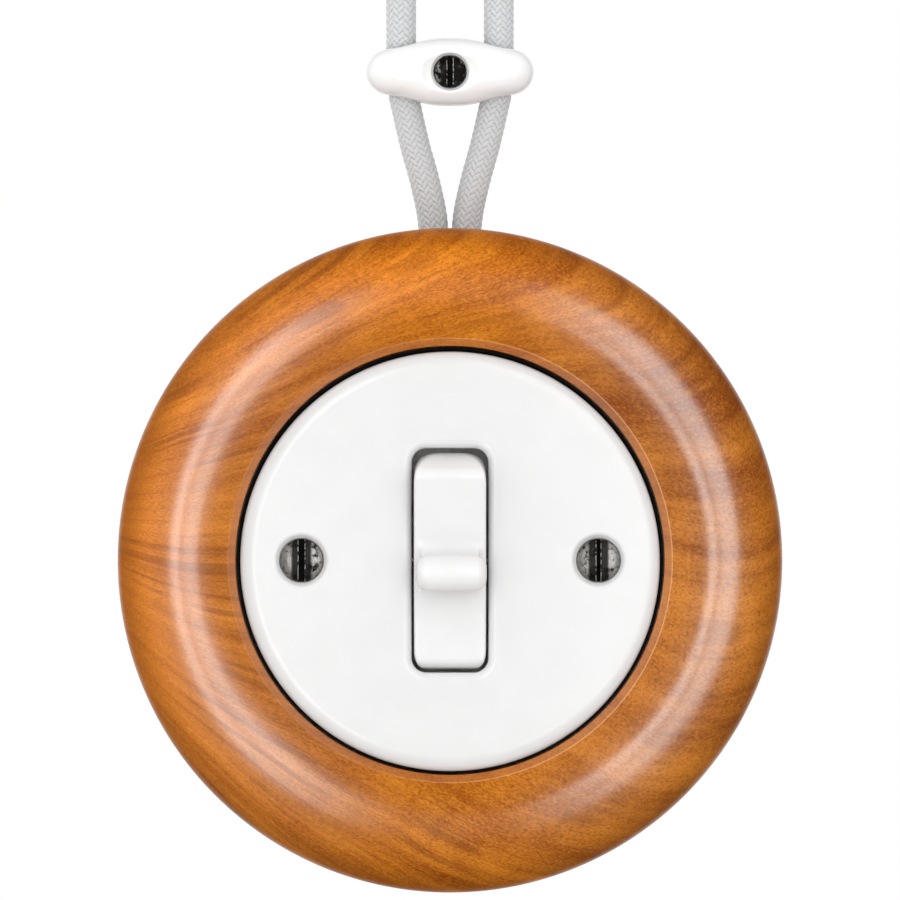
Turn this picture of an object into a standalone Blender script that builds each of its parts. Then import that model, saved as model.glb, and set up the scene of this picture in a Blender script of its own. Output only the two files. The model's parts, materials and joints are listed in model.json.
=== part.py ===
"""A surface mounted rocker switch in a turned wooden surround, wired by two textile cables.

The cables run down the wall, pass under a porcelain clip and go in behind the top of the wooden ring.
Sizes are in millimetres and become metres in the scene. Every part is drawn as seen from the front,
under the empty `front`: X to the right, Y up the wall and Z out from the wall. The empty is turned so
that in the world the wall is the plane Y = 0, up is +Z and the switch stands out towards -Y.
"""

import math

import bmesh
import bpy
from mathutils import Matrix

MM = 0.001

# Cover plate and fixings
SCREW_PITCH = 60.0
PLATE_RADIUS = 42.4
PLATE_BACK = 31.3
PLATE_FRONT = 36.0
PLATE_DROP = 0.2
SLOT_WIDTH = 15.5
SLOT_HEIGHT = 45.3
COVER_SCREW_HEAD = 4.3
COVER_SCREW_SHANK = 1.75
COUNTERBORE_RADIUS = 5.0
COUNTERBORE_FLOOR = 33.0

# Wooden ring
RING_RADIUS = 67.2
RING_WIDEST = 13.0
RING_CREST_RADIUS = 55.0
RING_CREST = 40.0
RING_MOUTH_RADIUS = 43.36
RING_LEDGE = 30.0
RING_LEDGE_RADIUS = 40.0
RING_FOOT = (54.0, 62.0)
SHOULDER_DEPTH = 27.0
FRONT_CURVE_RADIUS = 11.0
FRONT_SLOPE = 24.0
MOUTH_CHAMFER = 1.54

# Base and support ring
BASE_RADIUS = 46.0
BASE_THICKNESS = 5.0
PILLARS = [(x, y) for x in (-21.6, 21.6) for y in (-20.8, 20.8)]
PILLAR_RADIUS = 3.6
SUPPORT_RADIUS = 35.0
SUPPORT_BACK = 26.0
SUPPORT_FRONT = 27.2
WALL_SCREWS = [(-38.5, 0.0), (38.5, 0.0)]

# Mechanism
HOUSING_SIZE = (34.0, 46.0)
HOUSING_BACK = 6.0
HOUSING_FRONT = 22.0
COVER_BACK = 22.3
COVER_FLOOR = 24.0
COVER_FRONT = 25.7
MECHANISM_SCREWS = [(-14.2, 17.6), (14.2, -17.6)]
LEVER_PIVOT = 12.5
LEVER_TILT = -6.0
CONTACT_Y = 9.5
TERMINAL_X = 10.6
CORE_X = 10.2
CORE_DEPTH = 12.6

# Rocker, measured from its pivot
ROCKER_PIVOT = 28.5
ROCKER_TILT = 10.0
ROCKER_WIDTH = 14.6
ROCKER_END_RADIUS = 22.3
ROCKER_FOOT_HEIGHT = 9.3
ROCKER_SKIRT = 0.6
BULB_HEIGHT = 14.4
BULB_RADIUS = 3.6
BULB_WIDTH = 14.2
BULB_SHIFT = 0.3
PADDLE_END = 6.0
PADDLE_SQUARENESS = 3.1
NECK_WIDTH = 11.9
NECK_FOOT = 5.8
NECK_FILLET = 3.2
PIN_RADIUS = 1.0

# Cables and their clip
CABLE_DIAMETER = 6.1
CABLE_DEPTH = 3.7
CORE_DIAMETER = 2.2
CLIP_CENTRE = 98.96
CLIP_LENGTH = 34.0
CLIP_DEPTH = 12.6
JACKET_TOP = 124.0
CONNECTOR_X = 27.0

# The right-hand cable's route as X and Y, from its free end down to the clamp.
CABLE_ROUTE = [
    (9.9, 124.0),
    (9.9, 113.2),
    (9.9, 105.0),
    (9.85, 99.0),
    (9.55, 95.0),
    (8.7, 91.0),
    (7.8, 87.0),
    (6.8, 82.9),
    (5.66, 78.9),
    (4.65, 74.8),
    (3.8, 70.8),
    (3.4, 67.2),
    (3.33, 62.0),
    (3.33, 54.0),
    (3.33, 46.0),
    (3.33, 36.5),
]

COLOURS = {
    "porcelain": ((0.86, 0.86, 0.85), 0.12, 0.0),
    "wood": ((0.50, 0.17, 0.035), 0.38, 0.0),
    "black_plastic": ((0.012, 0.012, 0.012), 0.25, 0.0),
    "grey_plastic": ((0.25, 0.25, 0.25), 0.5, 0.0),
    "blackened_steel": ((0.06, 0.055, 0.05), 0.38, 1.0),
    "zinc_steel": ((0.62, 0.62, 0.6), 0.35, 1.0),
    "spring_steel": ((0.5, 0.5, 0.5), 0.3, 1.0),
    "brass": ((0.72, 0.5, 0.2), 0.3, 1.0),
    "silver": ((0.8, 0.8, 0.78), 0.25, 1.0),
    "textile": ((0.55, 0.55, 0.55), 0.85, 0.0),
    "core_brown": ((0.15, 0.05, 0.02), 0.45, 0.0),
    "core_blue": ((0.02, 0.12, 0.45), 0.45, 0.0),
    "core_green": ((0.25, 0.45, 0.04), 0.45, 0.0),
}


# ---------------------------------------------------------------- helpers


def clear_scene():
    for thing in list(bpy.data.objects):
        bpy.data.objects.remove(thing, do_unlink=True)


def new_collection(name):
    collection = bpy.data.collections.new(name)
    bpy.context.scene.collection.children.link(collection)
    return collection


def new_material(name, colour, roughness, metallic):
    material = bpy.data.materials.new(name)
    material.use_nodes = True
    shader = material.node_tree.nodes["Principled BSDF"]
    shader.inputs["Base Color"].default_value = (*colour, 1.0)
    shader.inputs["Roughness"].default_value = roughness
    shader.inputs["Metallic"].default_value = metallic
    material.diffuse_color = (*colour, 1.0)
    return material


def metres(values):
    return tuple(value * MM for value in values)


def arc(centre, radius, start, end, steps):
    """Points on an arc, with the angles in degrees; radius may be a pair for an ellipse."""
    across, along = radius if isinstance(radius, tuple) else (radius, radius)
    points = []
    for step in range(steps + 1):
        angle = math.radians(start + (end - start) * step / steps)
        points.append((centre[0] + across * math.cos(angle), centre[1] + along * math.sin(angle)))
    return points


def rounded_rectangle(width, height, radius, steps=4):
    x = width / 2 - radius
    y = height / 2 - radius
    corners = [((x, y), 0), ((-x, y), 90), ((-x, -y), 180), ((x, -y), 270)]
    return [point for centre, turn in corners for point in arc(centre, radius, turn, turn + 90, steps)]


def hang(thing, parent):
    """Puts an object that a tool has just made under its parent, in the parent's own frame."""
    thing.parent = parent
    thing.matrix_parent_inverse = Matrix.Identity(4)
    return thing


def cylinder(radius, low, high, at=(0.0, 0.0), steps=32, parent=None):
    """A cylinder along Z between two depths."""
    middle = (at[0], at[1], (low + high) / 2)
    bpy.ops.mesh.primitive_cylinder_add(
        vertices=steps, radius=radius * MM, depth=(high - low) * MM, location=metres(middle)
    )
    return hang(bpy.context.object, parent or FRONT)


def cylinder_across(radius, low, high, at, steps=24, parent=None):
    """A cylinder along X, with its centre line at Y and Z."""
    thing = cylinder(radius, low, high, steps=steps, parent=parent)
    thing.rotation_euler = (0.0, math.pi / 2, 0.0)
    thing.location = metres(((low + high) / 2, at[0], at[1]))
    return thing


def cylinder_up(radius, low, high, at, steps=24, parent=None):
    """A cylinder along Y, with its centre line at X and Z."""
    thing = cylinder(radius, low, high, steps=steps, parent=parent)
    thing.rotation_euler = (math.pi / 2, 0.0, 0.0)
    thing.location = metres((at[0], (low + high) / 2, at[1]))
    return thing


def block(x, y, z, parent=None):
    """A box between three pairs of limits."""
    middle = [(low + high) / 2 for low, high in (x, y, z)]
    size = [high - low for low, high in (x, y, z)]
    bpy.ops.mesh.primitive_cube_add(size=1.0, location=metres(middle))
    thing = bpy.context.object
    thing.data.transform(Matrix.Diagonal((*metres(size), 1.0)))
    return hang(thing, parent or FRONT)


def ball(semi_axes, at, parent=None):
    bpy.ops.mesh.primitive_uv_sphere_add(segments=32, ring_count=16, radius=1.0, location=metres(at))
    thing = bpy.context.object
    thing.data.transform(Matrix.Diagonal((*metres(semi_axes), 1.0)))
    return hang(thing, parent or FRONT)


def as_mesh(thing):
    """The same object as a plain closed mesh, with its modifiers applied."""
    bpy.context.view_layer.update()
    graph = bpy.context.evaluated_depsgraph_get()
    mesh = bpy.data.meshes.new_from_object(thing.evaluated_get(graph))
    shape = bmesh.new()
    shape.from_mesh(mesh)
    bmesh.ops.remove_doubles(shape, verts=shape.verts, dist=1e-6)
    bmesh.ops.recalc_face_normals(shape, faces=shape.faces)
    shape.to_mesh(mesh)
    shape.free()
    made = bpy.data.objects.new("solid", mesh)
    bpy.context.scene.collection.objects.link(made)
    hang(made, thing.parent)
    made.location = thing.location
    made.rotation_euler = thing.rotation_euler
    bpy.data.objects.remove(thing, do_unlink=True)
    return made


def extruded(outline, low, high, axis="Z", parent=None):
    """A flat outline pushed along an axis: (x, y) along Z, (y, z) along X or (x, z) along Y."""
    curve = bpy.data.curves.new("outline", "CURVE")
    curve.dimensions = "2D"
    curve.fill_mode = "BOTH"
    curve.extrude = (high - low) / 2 * MM
    line = curve.splines.new("POLY")
    line.points.add(len(outline) - 1)
    for point, (across, along) in zip(line.points, outline):
        point.co = (across * MM, along * MM, 0.0, 1.0)
    line.use_cyclic_u = True
    thing = bpy.data.objects.new("outline", curve)
    bpy.context.scene.collection.objects.link(thing)
    hang(thing, parent or FRONT)
    middle = (low + high) / 2 * MM
    turns = {"Z": (0, 0, 0), "X": (math.pi / 2, 0, math.pi / 2), "Y": (math.pi / 2, 0, 0)}
    thing.rotation_euler = turns[axis]
    thing.location["XYZ".index(axis)] = middle
    return as_mesh(thing)


def turned(profile, steps=64, at=(0.0, 0.0), parent=None, closed=True):
    """A turned shape about Z from (radius, depth) points that run from the front to the back."""
    mesh = bpy.data.meshes.new("profile")
    shape = bmesh.new()
    points = [shape.verts.new((radius * MM, 0.0, depth * MM)) for radius, depth in profile]
    for first, second in zip(points, points[1:]):
        shape.edges.new((first, second))
    if closed:
        shape.edges.new((points[-1], points[0]))
    shape.to_mesh(mesh)
    shape.free()
    thing = bpy.data.objects.new("profile", mesh)
    bpy.context.scene.collection.objects.link(thing)
    hang(thing, parent or FRONT)
    thing.location = metres((*at, 0.0))
    screw = thing.modifiers.new("turned", "SCREW")
    screw.axis = "Z"
    screw.steps = steps
    screw.render_steps = steps
    screw.use_merge_vertices = True
    screw.merge_threshold = 1e-5
    return as_mesh(thing)


def stacked(outlines, depths, parent=None):
    """A solid whose outline changes with depth: the outlines have equal numbers of points."""
    mesh = bpy.data.meshes.new("stack")
    shape = bmesh.new()
    loops = []
    for outline, depth in zip(outlines, depths):
        points = [shape.verts.new((x * MM, y * MM, depth * MM)) for x, y in outline]
        loops.append([shape.edges.new(pair) for pair in zip(points, points[1:] + points[:1])])
    for below, above in zip(loops, loops[1:]):
        bmesh.ops.bridge_loops(shape, edges=below + above)
    bmesh.ops.edgeloop_fill(shape, edges=loops[0])
    bmesh.ops.edgeloop_fill(shape, edges=loops[-1])
    bmesh.ops.recalc_face_normals(shape, faces=shape.faces)
    shape.to_mesh(mesh)
    shape.free()
    thing = bpy.data.objects.new("stack", mesh)
    bpy.context.scene.collection.objects.link(thing)
    return hang(thing, parent or FRONT)


def tube(points, diameter, resolution=2, parent=None):
    """A round rod along a smooth line through the points (X, Y, Z)."""
    curve = bpy.data.curves.new("rod", "CURVE")
    curve.dimensions = "3D"
    curve.bevel_depth = diameter / 2 * MM
    curve.bevel_resolution = resolution
    curve.use_fill_caps = True
    line = curve.splines.new("POLY")
    line.points.add(len(points) - 1)
    for point, place in zip(line.points, points):
        point.co = (*metres(place), 1.0)
    thing = bpy.data.objects.new("rod", curve)
    bpy.context.scene.collection.objects.link(thing)
    return hang(thing, parent or FRONT)


def smooth_line(points, per_span):
    """A Catmull-Rom line through the points, with a few steps between each two."""
    padded = [points[0], *points, points[-1]]
    line = []
    for p0, p1, p2, p3 in zip(padded, padded[1:], padded[2:], padded[3:]):
        for step in range(per_span):
            t = step / per_span
            line.append(
                tuple(
                    0.5 * (2 * b + (c - a) * t + (2 * a - 5 * b + 4 * c - d) * t**2 + (3 * b - a - 3 * c + d) * t**3)
                    for a, b, c, d in zip(p0, p1, p2, p3)
                )
            )
    return line + [points[-1]]


def combine(thing, other, operation):
    """One Boolean step; the second object goes to the cutters, hidden from the render."""
    for collection in list(other.users_collection):
        collection.objects.unlink(other)
    CUTTERS.objects.link(other)
    other.hide_render = True
    other.display_type = "WIRE"
    step = thing.modifiers.new(operation.lower(), "BOOLEAN")
    step.solver = "EXACT"
    step.operation = operation
    step.object = other
    return thing


def cut(thing, *others):
    for other in others:
        combine(thing, other, "DIFFERENCE")
    return thing


def join(thing, *others):
    for other in others:
        combine(thing, other, "UNION")
    return thing


def softened(thing, width, segments=2, angle=40.0):
    bevel = thing.modifiers.new("soft edges", "BEVEL")
    bevel.width = width * MM
    bevel.segments = segments
    bevel.limit_method = "ANGLE"
    bevel.angle_limit = math.radians(angle)
    return thing


def part(name, thing, material):
    """Names a finished part, gives it its material and files it under the parts."""
    thing.name = name
    thing.data.name = name
    thing.data.materials.clear()
    thing.data.materials.append(MATERIALS[material])
    for collection in list(thing.users_collection):
        collection.objects.unlink(thing)
    PARTS.objects.link(thing)
    return thing


def screw_set(name, places, material, **sizes):
    """Equal screws, one part each, numbered from 1."""
    for number, place in enumerate(places, start=1):
        part(f"{name}_{number}", as_mesh(slotted_screw(place, **sizes)), material)


def slotted_screw(at, seat, head_radius, head_height, shank_radius, tip, slot=1.0, dome=0.6, steps=14):
    """A slotted screw whose head sits at the depth `seat` and whose shank ends at `tip`."""
    top = seat + head_height
    head = [(0.0, top + dome), (head_radius * 0.6, top + dome * 0.65), (head_radius, top - 0.3)]
    shank = [(head_radius, seat), (shank_radius, seat), (shank_radius, tip), (0.0, tip)]
    screw = turned(head + shank, steps=steps, at=at, closed=False)
    depth = min(1.4, head_height * 0.75)
    groove = block(
        (at[0] - slot / 2, at[0] + slot / 2),
        (at[1] - head_radius - 1, at[1] + head_radius + 1),
        (top - depth, top + dome + 1),
    )
    return cut(screw, groove)


# ---------------------------------------------------------------- base and surround


def base_plate():
    base = cylinder(BASE_RADIUS, 0.0, BASE_THICKNESS, steps=64)
    for place in PILLARS:
        join(base, cylinder(PILLAR_RADIUS, 3.0, SUPPORT_BACK - 0.3, at=place, steps=16))
        cut(base, cylinder(1.8, 15.0, SUPPORT_BACK + 1, at=place, steps=12))
    for place in WALL_SCREWS:
        cut(base, cylinder(2.3, -1.0, BASE_THICKNESS + 1, at=place, steps=16))
    for place in clamp_screw_places():
        cut(base, cylinder(1.6, 1.2, BASE_THICKNESS + 1, at=place, steps=12))
    cut(base, block((-7.2, 7.2), (26.5, BASE_RADIUS + 2), (-1.0, BASE_THICKNESS + 1)))
    part("base_plate", base, "grey_plastic")


def wall_screws():
    sizes = {"seat": 5.2, "head_radius": 3.8, "head_height": 1.6, "shank_radius": 2.0, "tip": 0.0, "dome": 0.7}
    screw_set("wall_screw", WALL_SCREWS, "zinc_steel", **sizes)


def wood_profile():
    foot_in, foot_out = RING_FOOT
    outer = (RING_RADIUS - RING_CREST_RADIUS, RING_CREST - SHOULDER_DEPTH)
    face = arc((RING_CREST_RADIUS, SHOULDER_DEPTH), outer, 90, 0, 8)
    side = [(RING_RADIUS, RING_WIDEST), (RING_RADIUS - 0.7, 7.0), (RING_RADIUS - 2.3, 2.6), (foot_out, 0.0)]
    hollow = [(foot_in, 0.0), (foot_in, 10.0), (RING_LEDGE_RADIUS, 24.0), (RING_LEDGE_RADIUS, RING_LEDGE)]
    band_radius = RING_MOUTH_RADIUS + MOUTH_CHAMFER
    centre = (RING_CREST_RADIUS, RING_CREST - FRONT_CURVE_RADIUS)
    inner = arc(centre, FRONT_CURVE_RADIUS, 90 + FRONT_SLOPE, 90, 3)[:-1]
    slope_radius, slope_depth = inner[0]
    edge = slope_depth - (slope_radius - band_radius) * math.tan(math.radians(FRONT_SLOPE))
    mouth = [(RING_MOUTH_RADIUS, RING_LEDGE), (RING_MOUTH_RADIUS, edge - 1.3), (band_radius, edge)]
    return face + side + hollow + mouth + inner


def wood_frame():
    ring = turned(wood_profile(), steps=64)
    arch = arc((-3.9, 3.9), 3.3, 180, 90, 4) + arc((3.9, 3.9), 3.3, 90, 0, 4)
    notch = extruded([(-7.2, -1.0), *arch, (7.2, -1.0)], 45.0, RING_RADIUS + 2, axis="Y")
    part("wood_frame", cut(ring, notch), "wood")


def seat_ring():
    lip = 43.12
    profile = [
        (lip - 0.4, 33.0),
        (lip - 0.1, 33.0),
        (lip, 32.9),
        (lip, 30.3),
        (38.0, 30.3),
        (38.0, 31.0),
        (lip - 0.4, 31.0),
    ]
    part("seat_ring", turned(profile, steps=64), "black_plastic")


def cover_screw_places():
    return [(-SCREW_PITCH / 2, 0.0), (SCREW_PITCH / 2, 0.0)]


def cover_plate():
    edge = arc((PLATE_RADIUS - 3.2, PLATE_FRONT - 1.9), (3.2, 1.9), 90, 0, 4)
    profile = [(0.0, PLATE_FRONT), *edge, (PLATE_RADIUS, PLATE_BACK + 0.4)]
    profile += [(PLATE_RADIUS - 0.4, PLATE_BACK), (0.0, PLATE_BACK)]
    plate = turned(profile, steps=64, at=(0.0, -PLATE_DROP), closed=False)
    flare = [(0.0, PLATE_BACK - 1), (0.0, PLATE_FRONT - 1.4), (0.3, PLATE_FRONT - 0.5), (1.3, PLATE_FRONT + 0.05)]
    flare.append((1.3, PLATE_FRONT + 1))
    outlines = [rounded_rectangle(SLOT_WIDTH + 2 * w, SLOT_HEIGHT + 2 * w, 3.0 + w) for w, _ in flare]
    cut(plate, stacked(outlines, [depth for _, depth in flare]))
    for place in cover_screw_places():
        bore = [(COUNTERBORE_RADIUS + 0.7, PLATE_FRONT + 1), (COUNTERBORE_RADIUS + 0.7, PLATE_FRONT)]
        bore += [(COUNTERBORE_RADIUS, PLATE_FRONT - 0.7), (COUNTERBORE_RADIUS, COUNTERBORE_FLOOR)]
        bore += [(2.1, COUNTERBORE_FLOOR), (2.1, PLATE_BACK - 1), (0.0, PLATE_BACK - 1)]
        cut(plate, turned([(0.0, PLATE_FRONT + 1), *bore], steps=32, at=place, closed=False))
    part("cover_plate", plate, "porcelain")


def cover_screws():
    names = ("cover_screw_left", "cover_screw_right")
    for name, place in zip(names, cover_screw_places()):
        seat = COUNTERBORE_FLOOR + 0.2
        screw = slotted_screw(
            place, seat, COVER_SCREW_HEAD, 1.9, COVER_SCREW_SHANK, 19.0, slot=1.5, dome=0.7, steps=24
        )
        part(name, as_mesh(screw), "blackened_steel")


def support_ring():
    ring = cylinder(SUPPORT_RADIUS, SUPPORT_BACK, SUPPORT_FRONT, steps=64)
    for place in cover_screw_places():
        join(ring, cylinder(3.2, 21.5, SUPPORT_BACK + 0.6, at=place, steps=24))
        cut(ring, cylinder(1.95, 20.0, SUPPORT_FRONT + 1, at=place, steps=20))
    for place in PILLARS:
        cut(ring, cylinder(1.8, SUPPORT_BACK - 1, SUPPORT_FRONT + 1, at=place, steps=16))
    for place in MECHANISM_SCREWS:
        cut(ring, cylinder(1.3, SUPPORT_BACK - 1, SUPPORT_FRONT + 1, at=place, steps=12))
    window = extruded(rounded_rectangle(21.2, 46.6, 1.0, steps=2), SUPPORT_BACK - 1, SUPPORT_FRONT + 1)
    part("support_ring", cut(ring, window), "zinc_steel")


def support_screws():
    sizes = {"seat": SUPPORT_FRONT + 0.2, "head_radius": 3.0, "head_height": 1.3, "shank_radius": 1.5}
    screw_set("support_screw", PILLARS, "zinc_steel", **sizes, tip=16.5, slot=0.8, dome=0.4)


# ---------------------------------------------------------------- mechanism


def mechanism_housing():
    housing = extruded(rounded_rectangle(*HOUSING_SIZE, 3.0), HOUSING_BACK, HOUSING_FRONT)
    cut(housing, extruded(rounded_rectangle(30.0, 42.0, 2.0), HOUSING_BACK + 2.0, HOUSING_FRONT + 1))
    for place in MECHANISM_SCREWS:
        join(housing, cylinder(2.4, HOUSING_BACK + 1, HOUSING_FRONT, at=place, steps=16))
        cut(housing, cylinder(1.2, 13.5, HOUSING_FRONT + 1, at=place, steps=12))
    for x in (-CORE_X, CORE_X):
        cut(housing, cylinder_up(1.5, 20.0, 24.0, (x, CORE_DEPTH), steps=16))
    part("mechanism_housing", housing, "grey_plastic")


def mechanism_cover():
    cover = extruded(rounded_rectangle(*HOUSING_SIZE, 3.0), COVER_BACK, COVER_FRONT)
    cut(cover, block((-11.3, 11.3), (-24.0, 24.0), (COVER_FLOOR, COVER_FRONT + 1)))
    cut(cover, extruded(rounded_rectangle(11.0, 14.0, 1.0, steps=2), COVER_BACK - 1, COVER_FLOOR + 1))
    ear = [(-3.2, COVER_FLOOR - 0.8), (3.2, COVER_FLOOR - 0.8), *arc((0.0, ROCKER_PIVOT), 1.95, 0, 180, 8)]
    for low, high in ((-9.7, -7.7), (7.7, 9.7)):
        join(cover, extruded(ear, low, high, axis="X"))
    cut(cover, cylinder_across(PIN_RADIUS + 0.2, -11.0, 11.0, (0.0, ROCKER_PIVOT), steps=20))
    for place in MECHANISM_SCREWS:
        cut(cover, cylinder(1.2, COVER_BACK - 1, COVER_FRONT + 1, at=place, steps=12))
    part("mechanism_cover", cover, "grey_plastic")


def mechanism_screws():
    sizes = {"seat": SUPPORT_FRONT + 0.2, "head_radius": 2.1, "head_height": 0.9, "shank_radius": 0.95}
    screw_set("mechanism_screw", MECHANISM_SCREWS, "zinc_steel", **sizes, tip=14.2, slot=0.6, dome=0.2, steps=12)


def pivot_pin():
    pin = cylinder_across(PIN_RADIUS, -10.2, 10.2, (0.0, ROCKER_PIVOT), steps=20)
    part("pivot_pin", pin, "spring_steel")


def common_contact():
    """A brass strip with two cheeks and the ridge that the lever rocks on, out to its terminal."""
    floor, top = 8.3, 9.3
    outline = [(-4.2, floor), (13.6, floor), (13.6, top), (4.2, top), (4.2, 15.0), (3.4, 15.0), (3.4, top + 0.6)]
    outline += [(2.6, top + 0.6), (2.6, LEVER_PIVOT - 0.3), (-2.6, LEVER_PIVOT - 0.3), (-2.6, top + 0.6)]
    outline += [(-3.4, top + 0.6), (-3.4, 15.0), (-4.2, 15.0)]
    part("common_contact", extruded(outline, -1.5, 1.5, axis="Y"), "brass")


def fixed_contact(name, side):
    floor, top, raised = 8.3, 9.3, 10.4
    outline = [(-13.6, floor), (2.0, floor), (2.0, raised), (-2.0, raised), (-3.0, top), (-13.6, top)]
    low, high = sorted((side * 8.0, side * 11.0))
    part(name, extruded(outline, low, high, axis="Y"), "brass")


def terminal(name, x, y):
    """A brass block with a hole for the core along Y and a clamping screw's hole from the front."""
    body = softened(block((x - 3.0, x + 3.0), (y - 4.0, y + 4.0), (9.6, 16.6)), 0.3, segments=1)
    core_x = math.copysign(CORE_X, x)
    cut(body, cylinder_up(1.4, y - 5.0, y + 5.0, (core_x, CORE_DEPTH), steps=16))
    cut(body, cylinder(1.25, CORE_DEPTH, 18.0, at=(core_x, y), steps=16))
    part(name, body, "brass")


def terminal_places():
    return {
        "terminal_common": (TERMINAL_X, 0.0),
        "terminal_upper": (-TERMINAL_X, CONTACT_Y),
        "terminal_lower": (-TERMINAL_X, -CONTACT_Y),
    }


def terminal_screws():
    places = [(math.copysign(CORE_X, x), y) for x, y in terminal_places().values()]
    sizes = {"seat": 16.8, "head_radius": 1.8, "head_height": 1.2, "shank_radius": 1.05, "tip": 14.3}
    screw_set("terminal_screw", places, "zinc_steel", **sizes, slot=0.5, dome=0.2, steps=12)


def contact_lever():
    """The seesaw contact, tilted on the common contact's ridge."""
    tip = arc((9.4, 0.75), (1.6, 0.65), 90, 0, 3) + [(11.0, 0.1)]
    outline = [(-y, z) for y, z in tip] + [(y, z) for y, z in reversed(tip)]
    lever = extruded(outline, -3.0, 3.0, axis="X", parent=LEVER_AXIS)
    part("contact_lever", lever, "brass")
    for name, y in (("contact_tip_upper", CONTACT_Y), ("contact_tip_lower", -CONTACT_Y)):
        part(name, cylinder(1.4, -0.75, 0.0, at=(0.0, y), steps=16, parent=LEVER_AXIS), "silver")


# ---------------------------------------------------------------- rocker


def wing_half():
    """Half of the level rocker's side outline without its ridge, from the skirt to the foot."""
    start = math.degrees(math.asin(ROCKER_SKIRT / ROCKER_END_RADIUS))
    end = arc((0.0, 0.0), ROCKER_END_RADIUS, start, 24.2, 5)
    corner = arc((18.6, 8.35), 1.65, 35, 90, 3)
    wing = [(14.5, 9.62), (11.0, 9.38), (NECK_FOOT, ROCKER_FOOT_HEIGHT)]
    return end + corner + wing


def ridge_outline():
    """The neck with its two fillets, from foot to foot, up into the bulb."""
    centre = (NECK_FOOT, ROCKER_FOOT_HEIGHT + NECK_FILLET)
    right = arc(centre, NECK_FILLET, 268, 189.75, 5)
    left = [(-y, z) for y, z in reversed(right)]
    below = ROCKER_FOOT_HEIGHT - 0.6
    return [(-NECK_FOOT, below), (NECK_FOOT, below), *right, (0.0, BULB_HEIGHT), *left]


def paddle_outline(steps=6):
    """The rocker seen from the front: straight sides and full, blunt ends."""
    power = 2 / PADDLE_SQUARENESS
    straight = ROCKER_END_RADIUS - PADDLE_END
    corner = []
    for step in range(steps + 1):
        turn = math.pi / 2 * step / steps
        across = max(0.0, math.cos(turn)) ** power
        corner.append((ROCKER_WIDTH / 2 * across, straight + PADDLE_END * math.sin(turn) ** power))
    top = corner + [(-x, y) for x, y in reversed(corner[:-1])]
    return top + [(-x, -y) for x, y in top]


def rocker_cap():
    half = wing_half()
    outline = half + [(-y, z) for y, z in reversed(half)]
    width = ROCKER_WIDTH / 2
    cap = as_mesh(softened(extruded(outline, -width, width, axis="X", parent=ROCKER_AXIS), 0.9))
    combine(cap, extruded(paddle_outline(), -2.0, 12.0, parent=ROCKER_AXIS), "INTERSECT")
    neck = NECK_WIDTH / 2
    join(cap, extruded(ridge_outline(), -neck, neck, axis="X", parent=ROCKER_AXIS))
    join(cap, bulb())
    hollow = [(-19.9, -1.0), (19.9, -1.0), (19.3, 5.0), (17.3, 7.2), (-17.3, 7.2), (-19.3, 5.0)]
    cut(cap, extruded(hollow, -5.3, 5.3, axis="X", parent=ROCKER_AXIS))
    cut(cap, cylinder_across(1.7, -9.0, 9.0, (0.0, 0.0), parent=ROCKER_AXIS))
    part("rocker_cap", cap, "porcelain")


def bulb():
    """The ridge's round bar, with rounded ends, lying along X."""
    half = BULB_WIDTH / 2
    end = arc((BULB_RADIUS - 2.2, half - 2.2), 2.2, 90, 0, 4)
    profile = [(0.0, half), *end] + [(radius, -x) for radius, x in reversed(end)] + [(0.0, -half)]
    bar = turned(profile, steps=28, parent=ROCKER_AXIS, closed=False)
    bar.rotation_euler = (0.0, math.pi / 2, 0.0)
    bar.location = metres((BULB_SHIFT, 0.0, BULB_HEIGHT))
    return bar


def rocker_carrier():
    """The moulded block inside the cap, with the leg that holds the spring plunger."""
    carrier = block((-5.0, 5.0), (-10.0, 10.0), (1.9, 6.9), parent=ROCKER_AXIS)
    join(carrier, cylinder(3.75, -9.4, 4.0, steps=24, parent=ROCKER_AXIS))
    cut(carrier, cylinder(2.3, -11.0, -2.1, steps=24, parent=ROCKER_AXIS))
    cut(carrier, cylinder_across(PIN_RADIUS + 0.2, -6.0, 6.0, (0.0, 0.0), steps=20, parent=ROCKER_AXIS))
    part("rocker_carrier", carrier, "grey_plastic")


def plunger():
    nose = arc((0.0, -12.4), (2.05, 2.0), 0, -90, 5)
    profile = [(0.0, -6.6), (1.9, -6.6), (2.05, -6.75), *nose]
    part("plunger", turned(profile, steps=24, parent=PLUNGER_AXIS, closed=False), "zinc_steel")


def plunger_spring():
    turns, per_turn, top, bottom = 4.5, 8, -2.45, -6.25
    points = []
    for step in range(int(turns * per_turn) + 1):
        angle = 2 * math.pi * step / per_turn
        depth = top + (bottom - top) * step / (turns * per_turn)
        points.append((1.55 * math.cos(angle), 1.55 * math.sin(angle), depth))
    part("plunger_spring", tube(points, 0.45, parent=ROCKER_AXIS), "spring_steel")


# ---------------------------------------------------------------- wiring


def clamp_screw_places():
    return [(-10.4, 40.0), (10.4, 40.0)]


def cord_clamp():
    inside = arc((-3.7, CABLE_DEPTH), 3.3, 180, 90, 4) + arc((3.7, CABLE_DEPTH), 3.3, 90, 0, 4)
    outline = [(-13.4, 5.2), (-13.4, 8.6), (-12.4, 9.4), (12.4, 9.4), (13.4, 8.6), (13.4, 5.2), (7.0, 5.2)]
    outline += list(reversed(inside))[1:-1] + [(-7.0, 5.2)]
    clamp = extruded(outline, 37.0, 43.0, axis="Y")
    for place in clamp_screw_places():
        cut(clamp, cylinder(1.6, 4.0, 11.0, at=place, steps=16))
    part("cord_clamp", clamp, "grey_plastic")


def clamp_screws():
    sizes = {"seat": 9.6, "head_radius": 2.6, "head_height": 1.2, "shank_radius": 1.35, "tip": 1.5}
    screw_set("clamp_screw", clamp_screw_places(), "zinc_steel", **sizes, slot=0.7, dome=0.4)


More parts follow.
